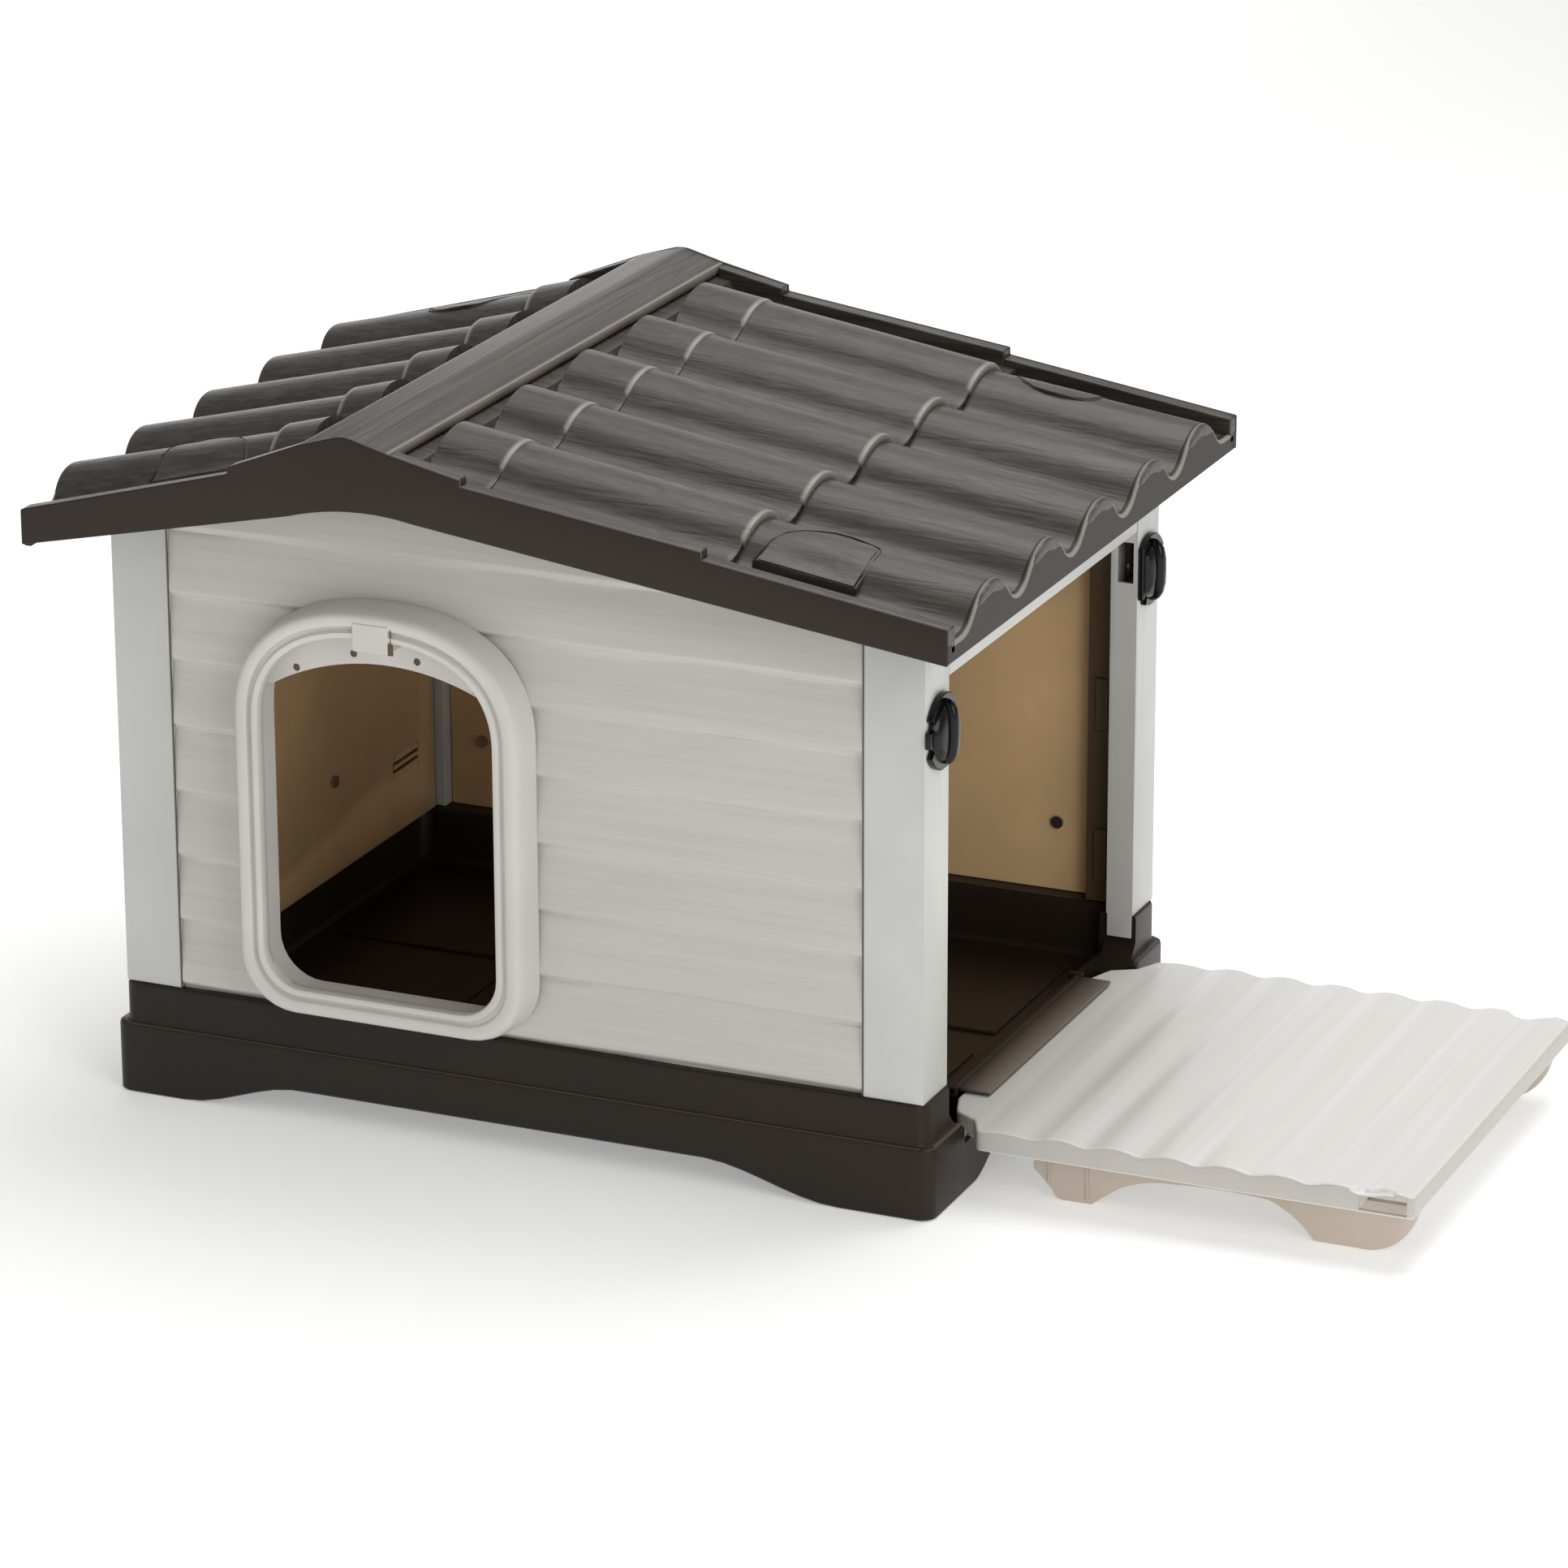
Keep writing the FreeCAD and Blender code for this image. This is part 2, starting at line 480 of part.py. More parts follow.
def deckPlan(inset):
    """Plan of the panel: a narrow tongue that clears the sill as it turns, slanted corners, rounded ends."""
    end, edge, corner = deckEnd - inset, deckY - inset, 6 - inset / 2
    bend = corner * (1 - math.sqrt(0.5))
    half = [(374 + inset, 155 - inset), (386 + inset, 190 - inset), (408 + inset, 203 - inset), (420 + inset, edge),
            (end - corner, edge), (end - bend, edge - bend, "arc"), (end, edge - corner)]
    return half + [(point[0], -point[1]) + point[2:] for point in half[::-1]]


def deckSection(top):
    """Section of the panel's top in (X, Z): flat tongue, then seven soft ridges."""
    section = [(370, 40), (370, top), (418, top)]
    crest = 443
    for index in range(7):
        section += [(crest + size["wavePitch"] * index, top + size["waveRise"], "arc"),
                    (crest + 25.5 + size["wavePitch"] * index, top)]
    return section + [(830, top), (830, 40)]


deckTop, deckSkin = size["deckTop"], size["deckSkin"]
deckSolid = common("deckSolid", plate("deckWave", "XZ", [deckSection(deckTop - 1)], -240, 480),
                   plate("deckBlock", "XY", [deckPlan(0)], "deckFoot", "30"))
hollowDepth = common("hollowDepth", plate("hollowWave", "XZ", [deckSection(deckTop - deckSkin - 1)], -240, 480),
                     plate("hollowBlock", "XY", [deckPlan(deckSkin)], "deckFoot - 5", "30"))
ribs = [box(f"ribLong{index}", (404, deckEnd - 2), (y - 1.3, y + 1.3), ("deckFoot", "deckTop - 2"))
        for index, y in enumerate((-114, 0, 114))]
ribs += [box(f"ribCross{index}", (x - 1.3, x + 1.3), ("-deckY + 2", "deckY - 2"), ("deckFoot", "deckTop - 2"))
         for index, x in enumerate((451, 556, 661, 766))]
ribs.append(box("ribRoot", (404, 407), (-196, 196), ("deckFoot", "deckTop - 2")))
bossY = 203
earX = [443 + size["wavePitch"] * (0.5 + 2 * index) for index in range(4)]
bosses, holes = [], []
for end, name in ((-1, "Front"), (1, "Rear")):
    bosses.append(rod("boss" + name, "Y", 7, 17, "hingeX", min(end * bossY, end * (bossY - 17)), "hingeZ"))
    bosses.append(box("bossBack" + name, ("hingeX", 406), tuple(sorted((end * 186, end * 194))),
                      ("hingeZ - 0.4", "deckTop - 2")))
    holes.append(rod("bossHole" + name, "Y", "hingePin + pinGap", 25, "hingeX", min(end * 180, end * 205), "hingeZ"))
    for index, x in enumerate(earX):
        bosses.append(box(f"ear{name}{index}", (x - 4, x + 4), tuple(sorted((end * 177, end * 184))),
                          ("legAxisZ - 4", "deckTop - 2")))
    holes.append(rod("earHole" + name, "X", "legRod", 350, 440, f"{end} * legAxisY", "legAxisZ"))
    holes.append(box("latchPocket" + name, (769, 812), tuple(sorted((end * 215, end * 230))), (50, 63)))
deckHung = fuse("deckHung", [cut("deckShell", deckSolid, [hollowDepth])] + ribs + bosses)
recesses = [rod("latchRecess" + name, "Z", "knobRadius", 10, "knobZ + 342", y, "deckTop - 0.5")
            for name, y in (("Front", "-knobY"), ("Rear", "knobY"))]
keep(cut("sidePanel", deckHung, holes + recesses), "side_panel")
keep(fuse("legRods", [rod("legRod" + name, "X", "legRod", 322, 459, f"{end} * legAxisY", "legAxisZ")
                      for end, name in ((-1, "Front"), (1, "Rear"))]), "leg_rods")

# ---- folding legs: two feet joined by an arch, with knuckles on the rod
legLine = [(462, 46), (459, 26), (470, 16, "arc"), (478, 7), (482, 1.5, "arc"), (491, 0), (514, 0), (538, 18),
           (560, 27, "arc"), (587, 31), (632, 33, "arc"), (677, 31), (700, 19, "arc"), (719, 0), (758, 0),
           (796, 12, "arc"), (812, 42), (812, 46)]
knuckleX = (485, 520, 605, 640, 720)
for end, name in ((-1, "front"), (1, "rear")):
    outerFace = size["legAxisY"] + size["legGap"] + size["legThick"]
    start = "-legAxisY - legGap - legThick" if end < 0 else "legAxisY + legGap"
    pieces = [plate(name + "LegBoard", "XZ", [legLine], start, "legThick")]
    for index, x in enumerate(knuckleX):
        pieces.append(rod(f"{name}Knuckle{index}", "X", 4.2, 10, x - 5, f"{end} * legAxisY", "legAxisZ"))
        pieces.append(box(f"{name}Web{index}", (x - 5, x + 5),
                          tuple(sorted((end * size["legAxisY"], end * (size["legAxisY"] + size["legGap"] + 1)))),
                          ("legAxisZ - 4.2", "legAxisZ + 3")))
    bore = rod(name + "LegBore", "X", "legRod + pinGap", 360, 455, f"{end} * legAxisY", "legAxisZ")
    keep(cut(name + "Leg", fuse(name + "LegWhole", pieces), [bore]), name + "_leg")

# ---- sill flap over the panel's tongue, on its rod
flapPlate = box("flapPlate", ("flapX + 2", "flapEnd"), ("-flapY", "flapY"), ("flapZ - 1.5", "flapZ + 1.5"))
flapBarrel = rod("flapBarrel", "Y", 3.2, "2 * flapY", "flapX", "-flapY", "flapZ")
flapBore = rod("flapBore", "Y", "flapRod + pinGap", "2 * flapY + 2", "flapX", "-flapY - 1", "flapZ")
keep(cut("sillFlap", fuse("flapWhole", [flapPlate, flapBarrel]), [flapBore]), "sill_flap")
keep(rod("flapRodBar", "Y", "flapRod", 314, "flapX", -157, "flapZ"), "flap_rod")

# ---- turn latches: a disc with a flat towards the doorway, a grip bar, a tongue inside the post, a screw
for end, name in ((-1, "front"), (1, "rear")):
    knobY = f"{end} * knobY"
    disc = rod(name + "Disc", "X", "knobRadius", 9, "postX + 0.8", knobY, "knobZ")
    hub = rod(name + "Hub", "X", 13, 6, "postX + 9", knobY, "knobZ")
    grip = box(name + "Grip", ("postX + 9", "postX + 19"), (f"{knobY} - 5", f"{knobY} + 5"),
               ("knobZ - 29", "knobZ + 29"))
    spindle = rod(name + "Spindle", "X", "spindle", 14.3, "postX - 13", knobY, "knobZ")
    flat = box(name + "Flat", ("postX", "postX + 30"), tuple(sorted((end * 200, end * 228.4))),
               ("knobZ - 40", "knobZ + 40"))
    notches = []
    for index in range(12):
        angle = math.radians(30 * index + 15)
        notches.append(rod(f"{name}Notch{index}", "X", 2.2, 14, "postX - 0.5",
                           f"{knobY} + knobRadius * {math.cos(angle):.5f}", f"knobZ + knobRadius * {math.sin(angle):.5f}"))
    keep(cut(name + "Knob", fuse(name + "KnobWhole", [disc, hub, grip, spindle]), [flat] + notches), name + "_knob")
    cam = box(name + "CamBar", ("postX - 14.5", "postX - 5.5"), (f"{knobY} - 5.5", f"{knobY} + 5.5"),
              ("knobZ - 8", "knobZ + camReach"))
    camHole = rod(name + "CamHole", "X", "spindle", 20, "postX - 13", knobY, "knobZ")
    keep(cut(name + "Cam", cam, [camHole]), name + "_latch_tongue")
    keep(rod(name + "Screw", "X", 4, 3, "postX - 17.5", knobY, "knobZ"), name + "_latch_screw")

doc.recompute()
for item in doc.Objects:
    if "Invalid" in item.State or "Error" in item.State:
        raise RuntimeError(f"{item.Name} did not compute: {item.State}")
for item in nodes:
    if item.Shape.isNull() or not item.Shape.isValid() or not item.Shape.Solids:
        raise RuntimeError(f"{item.Label} has no valid solid")

os.makedirs("parts", exist_ok=True)
for item in nodes:
    item.Shape.exportStep(f"parts/{item.Label}.step")
    solids = len(item.Shape.Solids)
    print(f"{item.Label}: {solids} solid{'s' if solids > 1 else ''}, {item.Shape.Volume / 1000:.1f} cm3")
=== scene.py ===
import bmesh
import bpy
from math import atan, copysign, cos, floor, hypot, pi, radians, sin, sqrt
from mathutils import Matrix, Vector, noise


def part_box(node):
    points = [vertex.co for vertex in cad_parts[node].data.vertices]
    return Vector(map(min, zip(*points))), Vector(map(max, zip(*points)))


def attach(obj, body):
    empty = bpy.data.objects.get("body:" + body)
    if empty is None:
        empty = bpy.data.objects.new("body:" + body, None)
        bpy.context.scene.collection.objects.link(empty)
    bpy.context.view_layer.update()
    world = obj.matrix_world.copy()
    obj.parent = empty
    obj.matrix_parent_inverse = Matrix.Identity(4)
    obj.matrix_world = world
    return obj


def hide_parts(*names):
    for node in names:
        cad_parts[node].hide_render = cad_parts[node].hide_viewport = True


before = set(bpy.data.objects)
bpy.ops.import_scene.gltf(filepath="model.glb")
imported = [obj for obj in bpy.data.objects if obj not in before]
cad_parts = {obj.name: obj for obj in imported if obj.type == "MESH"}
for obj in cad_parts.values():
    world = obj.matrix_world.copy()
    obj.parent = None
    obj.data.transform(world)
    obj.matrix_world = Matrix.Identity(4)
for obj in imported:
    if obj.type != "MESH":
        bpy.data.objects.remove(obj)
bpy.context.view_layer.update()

trayLow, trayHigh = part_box("base_tray")
cabinX = (trayLow.x + trayHigh.x) / 2      # middle of the cabin, left to right


def at(x, y, z):
    # millimetres about the cabin's middle, to metres in the frame
    return Vector((cabinX + x / 1000, y / 1000, z / 1000))


def smooth(part):
    part = min(max(part, 0), 1)
    return part * part * (3 - 2 * part)


def fromHex(code):
    def linear(part):
        return part / 12.92 if part <= 0.04045 else ((part + 0.055) / 1.055) ** 2.4
    return tuple(linear(int(code[i:i + 2], 16) / 255) for i in (1, 3, 5)) + (1,)


def addNode(tree, kind, settings=None, links=None):
    node = tree.nodes.new(kind)
    for name, value in (settings or {}).items():
        if isinstance(name, str) and hasattr(node, name):
            setattr(node, name, value)
        else:
            node.inputs[name].default_value = value
    for name, source in (links or {}).items():
        tree.links.new(source, node.inputs[name])
    return node


def setInputs(node, values):
    for name, value in values.items():
        node.inputs[name].default_value = value


def newMaterial(name, roughness, ior=1.49):
    material = bpy.data.materials.new(name)
    material.use_nodes = True
    shader = material.node_tree.nodes["Principled BSDF"]
    setInputs(shader, {"Roughness": roughness, "IOR": ior})
    return material, material.node_tree, shader


def mixColours(tree, factor, first, second, blend="MIX"):
    # sockets 0, 6 and 7 are a colour mix's factor and its two colours, and output 2 is its colour
    node = addNode(tree, "ShaderNodeMix", {"data_type": "RGBA", "blend_type": blend})
    for index, value in ((0, factor), (6, first), (7, second)):
        if hasattr(value, "is_output"):
            tree.links.new(value, node.inputs[index])
        else:
            node.inputs[index].default_value = value
    return node.outputs[2]


def spread(tree, source, low, high, toLow=0.0, toHigh=1.0):
    limits = {"From Min": low, "From Max": high, "To Min": toLow, "To Max": toHigh}
    return addNode(tree, "ShaderNodeMapRange", limits, {"Value": source}).outputs[0]


def attributeOver(tree, layer, colour, under):
    marked = addNode(tree, "ShaderNodeAttribute", {"attribute_name": layer})
    return mixColours(tree, marked.outputs["Fac"], under, fromHex(colour))


def finishShader(tree, shader, colour, height, strength, depthMm):
    tree.links.new(colour, shader.inputs["Base Color"])
    given = {"Strength": strength, "Distance": depthMm / 1000}
    bump = addNode(tree, "ShaderNodeBump", given, {"Height": height})
    tree.links.new(bump.outputs[0], shader.inputs["Normal"])


# its near-black last colour is painted shade for the pads' grooves and fronts
grain = {
    "fine": {"Scale": 0.45, "Detail": 5.0, "Roughness": 0.62, "Distortion": 0.4},
    "broad": {"Scale": 1.0, "Detail": 2.0, "Roughness": 0.5, "Distortion": 1.2},
    "broadAlong": 6, "broadAcross": 16, "rings": 26.0, "flameSpan": (0.55, 1.0), "fineSpan": (0.36, 0.66),
    "patchSpan": (0.35, 0.68), "bump": 0.6, "paintedShade": "#090706",
}


def grainedPlastic(name, tones, lines, roughness, depth, alongMm=190, acrossMm=2.4, flame=0.6, rim=None):
    # polypropylene out of a wood-grained mould: satin, with fine lines pressed along each board
    # lines is the axis that the grain follows; its lines are about acrossMm apart and alongMm long
    material, tree, shader = newMaterial(name, roughness)
    coords = addNode(tree, "ShaderNodeTexCoord")
    dark, mid, light = (fromHex(tone) for tone in tones)

    def figure(kind, along, across):
        scale = [1000 / (along if axis == lines else across) for axis in "XYZ"]
        stretched = addNode(tree, "ShaderNodeMapping", {"Scale": scale}, {"Vector": coords.outputs["Object"]})
        drawn = addNode(tree, "ShaderNodeTexNoise", grain[kind], {"Vector": stretched.outputs[0]})
        return drawn.outputs["Fac"]

    fine = figure("fine", alongMm, acrossMm)
    broad = figure("broad", alongMm * grain["broadAlong"], acrossMm * grain["broadAcross"])
    rings = addNode(tree, "ShaderNodeMath", {"operation": "MULTIPLY", 1: grain["rings"]}, {0: broad})
    flames = addNode(tree, "ShaderNodeMath", {"operation": "SINE"}, {0: rings.outputs[0]})
    flameLines = spread(tree, flames.outputs[0], *grain["flameSpan"], 0.0, flame)
    fineLines = spread(tree, fine, *grain["fineSpan"])
    base = mixColours(tree, spread(tree, broad, *grain["patchSpan"]), mid, light)
    final = mixColours(tree, flameLines, mixColours(tree, fineLines, dark, base), dark)
    # the rim layer paints a highlight on marked edges, and the second layer paints near-black shade into
    # marked grooves
    if rim:
        final = attributeOver(tree, "rim", rim, final)
        final = attributeOver(tree, "paintedShade", grain["paintedShade"], final)
    height = addNode(tree, "ShaderNodeMath", {"operation": "SUBTRACT"}, {0: fineLines, 1: flameLines})
    finishShader(tree, shader, final, height.outputs[0], grain["bump"], depth)
    return material


satin = {
    "peel": {"Scale": 625.0, "Detail": 2.0}, "cloud": {"Scale": 7.0, "Detail": 3.0}, "cloudSpan": (0.3, 0.7),
    "bump": 0.35,
}


def satinPlastic(name, colour, roughness, depth=0.05, mottle=0.06, rim=None, shine=0.5, metallic=0.0):
    # out of a spark-eroded mould: even colour, a very fine orange-peel under the satin
    material, tree, shader = newMaterial(name, roughness)
    coords = addNode(tree, "ShaderNodeTexCoord")
    setInputs(shader, {"Specular IOR Level": shine, "Metallic": metallic})
    peel, cloud = (addNode(tree, "ShaderNodeTexNoise", satin[kind], {"Vector": coords.outputs["Object"]})
                   for kind in ("peel", "cloud"))
    shade = spread(tree, cloud.outputs["Fac"], *satin["cloudSpan"], 1 - mottle, 1 + mottle)
    grey = addNode(tree, "ShaderNodeCombineColor", {}, {"Red": shade, "Green": shade, "Blue": shade})
    final = mixColours(tree, 1.0, fromHex(colour), grey.outputs[0], "MULTIPLY")
    # the rim layer paints a highlight on marked edges
    if rim:
        final = attributeOver(tree, "rim", rim, final)
    finishShader(tree, shader, final, peel.outputs["Fac"], satin["bump"], depth)
    return material


# tiles: dark brown with fine lines up the slope; light on the lips is a painted highlight, and near-black in
# the pads' grooves is painted shade
roofTones = ("#2A251F", "#413A33", "#4A423B")
roofAlong = grainedPlastic("Roof PP wood-grain moulded", roofTones, "X", 0.42, 0.22, rim="#8F8881")
# ridge cap: a shade lighter than the tiles, a deeper and duller figure, and a painted highlight along the
# lower edges
ridgeTones = ("#2C2620", "#453E37", "#544C44")
ridgeAlong = grainedPlastic("Ridge PP wood-grain moulded", ridgeTones, "Y", 0.5, 0.5, 150, rim="#857D75")
# walls: pale warm grey, with a faint grain that breaks up the light along each board
wallTones = ("#CCC9C3", "#D1CFC9", "#D4D2CD")
wallAcross = grainedPlastic("Wall PP wood-grain moulded", wallTones, "X", 0.5, 0.07, 200, 4, 0.06)
wallSide = grainedPlastic("Side wall PP wood-grain moulded", wallTones, "Y", 0.5, 0.07, 200, 4, 0.06)
# panel: the lightest boards, with a soft sheen from above
deckTones = ("#DAD9D4", "#DFDEDA", "#E2E1DD")
deckGrain = grainedPlastic("Panel PP wood-grain moulded", deckTones, "Y", 0.42, 0.06, 200, 4, 0.05)
# panel's edge: the panel's colour made greyer and plain, a painted shade on the side faces, so that the top
# reads as lit
deckSideShade = satinPlastic("Panel PP edge painted shade", "#C3BFB8", 0.45, mottle=0.03)
# posts and header: cool pale grey, plain and soft
postPlastic = satinPlastic("Post PP satin moulded", "#D0D0CC", 0.42)
# doorway surround: warm off-white with a sheen on its round lips
ringPlastic = satinPlastic("Surround PP satin moulded", "#D8D5CF", 0.42)
# base and sill flap: near-black brown with a dull sheen, and a painted highlight along the edges
brownPlastic = satinPlastic("Base PP dark satin moulded", "#2A221B", 0.38, mottle=0.04, shine=0.24,
                            rim="#8A7F74")
# eave: the tiles' brown without grain, matt, with a painted highlight along its scalloped edge
eavePlastic = satinPlastic("Eave PP dark satin moulded", "#2E2721", 0.46, mottle=0.03, shine=0.2,
                           rim="#8F8881")
# gable boards: the tiles' brown without grain, a little lighter
fasciaPlastic = satinPlastic("Gable PP dark satin moulded", "#332B25", 0.44, mottle=0.03, shine=0.24)
# legs: pinkish beige, dull
legPlastic = satinPlastic("Leg PP beige satin moulded", "#CDBFB1", 0.5)
# lining: tan sheet, glossier than the shell and slightly cloudy
tanPlastic = satinPlastic("Lining foamed PVC sheet", "#E3BF8F", 0.3, mottle=0.12)
# channels and joint strips: dark tan; the lining's channels have it as their own colour, while the strips at
# the wall joints and beside the flap tab use it as painted shade of the gaps
stripPlasticAndShade = satinPlastic("Lining channel PVC and painted gap shade", "#5E4B34", 0.4, mottle=0.08)
# latches: black with small sharp highlights
blackNylon = satinPlastic("Latch nylon gloss moulded", "#060606", 0.2, depth=0.02, mottle=0.0, shine=0.35)
# screws, pins and rods: bright grey metal
zincSteel = satinPlastic("Screw steel zinc plated", "#A9A9A8", 0.3, depth=0.01, metallic=1.0)
print("materials ready")


def addObject(name, data):
    thing = bpy.data.objects.new(name, data)
    bpy.context.collection.objects.link(thing)
    return thing


def reshape(mesh, change):
    # change(shape) edits the mesh's points and faces
    shape = bmesh.new()
    shape.from_mesh(mesh)
    change(shape)
    shape.to_mesh(mesh)
    shape.free()


def fillHoles(shape):
    bmesh.ops.holes_fill(shape, edges=[edge for edge in shape.edges if edge.is_boundary], sides=0)


def smoothFaces(mesh):
    mesh.polygons.foreach_set("use_smooth", [True] * len(mesh.polygons))


def tidyMesh(piece, smoothDeg, weldMm=0.01):
    def clean(shape):
        bmesh.ops.remove_doubles(shape, verts=shape.verts, dist=weldMm / 1000)
        bmesh.ops.dissolve_degenerate(shape, dist=weldMm / 2000, edges=shape.edges)
        bmesh.ops.recalc_face_normals(shape, faces=shape.faces)
    reshape(piece.data, clean)
    smoothFaces(piece.data)
    piece.data.set_sharp_from_angle(angle=radians(smoothDeg))


def newPiece(name, points, faces, material, smoothDeg=35):
    mesh = bpy.data.meshes.new(name)
    mesh.from_pydata([tuple(point) for point in points], [], faces)
    piece = addObject(name, mesh)
    tidyMesh(piece, smoothDeg)
    piece.data.materials.append(material)
    return piece


def setPointValues(piece, layer, values):
    piece.data.attributes.new(layer, "FLOAT", "POINT").data.foreach_set("value", values)


def markPaintedHighlight(piece, strength):
    # strength(x, y, z) in metres gives how strong the painted highlight is at each point's edge
    setPointValues(piece, "rim", [strength(*vertex.co) for vertex in piece.data.vertices])


def modifier(piece, kind, **settings):
    mod = piece.modifiers.new(kind.title(), kind)
    for name, value in settings.items():
        setattr(mod, name, value)
    return mod


def bevel(piece, widthMm, segments=2, angle=30):
    modifier(piece, "BEVEL", width=widthMm / 1000, segments=segments, limit_method="ANGLE",
             angle_limit=radians(angle), harden_normals=True)


def bake(piece):
    bpy.context.view_layer.update()
    seen = piece.evaluated_get(bpy.context.evaluated_depsgraph_get())
    piece.data = bpy.data.meshes.new_from_object(seen)
    piece.modifiers.clear()
    return piece


def join(name, pieces):
    # one plain mesh out of several, each with its own material slots
    shape = bmesh.new()
    materials = []
    for piece in pieces:
        start = len(shape.faces)
        shape.from_mesh(piece.data)
        shape.faces.ensure_lookup_table()
        places = []
        for material in piece.data.materials:
            if material not in materials:
                materials.append(material)
            places.append(materials.index(material))
        for face in shape.faces[start:]:
            face.material_index = places[face.material_index] if places else 0
    mesh = bpy.data.meshes.new(name)
    shape.to_mesh(mesh)
    shape.free()
    for material in materials:
        mesh.materials.append(material)
    for piece in pieces:
        bpy.data.objects.remove(piece)
    return addObject(name, mesh)


def settle(piece, body, slotName, *nodes):
    if piece.modifiers:
        bake(piece)
    if nodes:
        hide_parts(*nodes)
    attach(piece, body)
    return piece


def loft(rings, closed=True, capEnds=False):
    # faces between rings of points, each ring with the same count
    count = len(rings[0])
    points = [point for ring in rings for point in ring]
    faces = []
    for row in range(len(rings) - 1):
        for index in range(count if closed else count - 1):
            after = (index + 1) % count
            faces.append((row * count + index, row * count + after, (row + 1) * count + after,
                          (row + 1) * count + index))
    if capEnds:
        faces.append(tuple(range(count)))
        faces.append(tuple((len(rings) - 1) * count + index for index in range(count)))
    return points, faces


def capped(name, rings, material, smoothDeg=35):
    return newPiece(name, *loft(rings, capEnds=True), material, smoothDeg)


def fullTurn(count):
    return [2 * pi * step / count for step in range(count)]


def span(side, near, far):
    # low and high of what lies between two distances on one side
    return sorted((side * near, side * far))


def block(name, low, high, material, radiusMm=1.0):
    (left, right), (front, back), (foot, top) = zip(low, high)
    corners = [Vector((x, y, z)) for x in (left, right) for y in (front, back) for z in (foot, top)]
    faces = [(0, 1, 3, 2), (4, 6, 7, 5), (0, 4, 5, 1), (2, 3, 7, 6), (0, 2, 6, 4), (1, 5, 7, 3)]
    piece = newPiece(name, [at(*place) for place in corners], faces, material)
    bevel(piece, radiusMm)
    return bake(piece)


def carve(piece, cutters):
    for cutter in cutters:
        modifier(piece, "BOOLEAN", object=cutter, operation="DIFFERENCE", solver="EXACT")
    bake(piece)
    for cutter in cutters:
        bpy.data.objects.remove(cutter)
    return piece


def softened(node, name, material, body, slotName, widthMm, segments=2, flatDeg=0.8):
    # the CAD node with its edges rounded as a mould rounds them
    flat = radians(flatDeg)

    def clean(shape):
        bmesh.ops.remove_doubles(shape, verts=shape.verts, dist=1e-5)
        bmesh.ops.dissolve_limit(shape, angle_limit=flat, verts=shape.verts, edges=shape.edges)

    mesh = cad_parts[node].data.copy()
    mesh.materials.clear()
    piece = addObject(name, mesh)
    reshape(mesh, clean)
    smoothFaces(mesh)
    mesh.materials.append(material)
    bevel(piece, widthMm, segments)
    return settle(piece, body, slotName, node)


def copiesTree(name, onRow):
    # a row or a set of points, a copy of one object on each, made real and given a material
    tree = bpy.data.node_groups.new(name, "GeometryNodeTree")
    tree.interface.new_socket("Geometry", in_out="OUTPUT", socket_type="NodeSocketGeometry")
    sockets = [("Geometry", "Geometry"), ("Copy", "Object"), ("Finish", "Material")]
    if onRow:
        sockets += [("Count", "Int"), ("Start", "Vector"), ("Step", "Vector")]
    for label, kind in sockets:
        tree.interface.new_socket(label, in_out="INPUT", socket_type="NodeSocket" + kind)
    given = addNode(tree, "NodeGroupInput").outputs
    source = given["Geometry"]
    if onRow:
        source = addNode(tree, "GeometryNodeMeshLine", {"mode": "OFFSET"}, {
            "Count": given["Count"], "Start Location": given["Start"], "Offset": given["Step"]}).outputs[0]
    copied = addNode(tree, "GeometryNodeObjectInfo", {}, {"Object": given["Copy"]}).outputs["Geometry"]
    placed = addNode(tree, "GeometryNodeInstanceOnPoints", {}, {"Points": source, "Instance": copied})
    real = addNode(tree, "GeometryNodeRealizeInstances", {}, {"Geometry": placed.outputs[0]}).outputs[0]
    done = addNode(tree, "GeometryNodeSetMaterial", {}, {"Geometry": real, "Material": given["Finish"]})
    addNode(tree, "NodeGroupOutput", {}, {"Geometry": done.outputs[0]})
    return tree


rowTree = copiesTree("Row of copies", True)
pointTree = copiesTree("Copies on points", False)


def copies(name, tree, copied, finish, points=(), **values):
    mesh = bpy.data.meshes.new(name)
    mesh.from_pydata([tuple(point) for point in points], [], [])
    piece = addObject(name, mesh)
    mod = piece.modifiers.new("Copies", "NODES")
    mod.node_group = tree
    given = {"Copy": copied, "Finish": finish, **values}
    for item in tree.interface.items_tree:
        if item.in_out == "INPUT" and item.name in given:
            mod[item.identifier] = given[item.name]
    bake(piece)
    bpy.data.objects.remove(copied)
    return piece


# the highlight entries place a painted highlight on the lips of the upper courses and on the rails' outer
# edges
roof = {
    "pitch": 128, "rise": 25.5, "valley": 24, "swell": 0.2, "columns": 5, "skin": 4.4, "halfDepth": 351,
    "lip": 2.4, "lipDrop": 9, "overlap": 10, "slotSpan": (-56, -38), "slotDrop": 2.6, "gutterGap": 3,
    "highlightSpan": (-40, 48), "highlightDeep": 3.2, "highlightStrength": 0.9, "railWide": 14, "railDeep": 24, "railHighlight": 1.4,
    "ridgeX": -120,
}
# each course as (x at its foot, x at its head, gutter's height), each rail as (x, x, top, top)
slopes = {
    "right": {"side": 1, "rise": 0.155, "courses": [(437.5, 228, 549), (228, 2, 589), (2, -62, 626)],
              "rails": [(440, 215, 564, 598), (215, -10, 605, 636), (-10, -76, 642, 656)]},
    "left": {"side": -1, "rise": 0.27, "courses": [(-437, -221, 551.5), (-221, -178, 616)],
             "rails": [(-440, -233, 566, 621.5), (-233, -164, 628, 655)]},
}


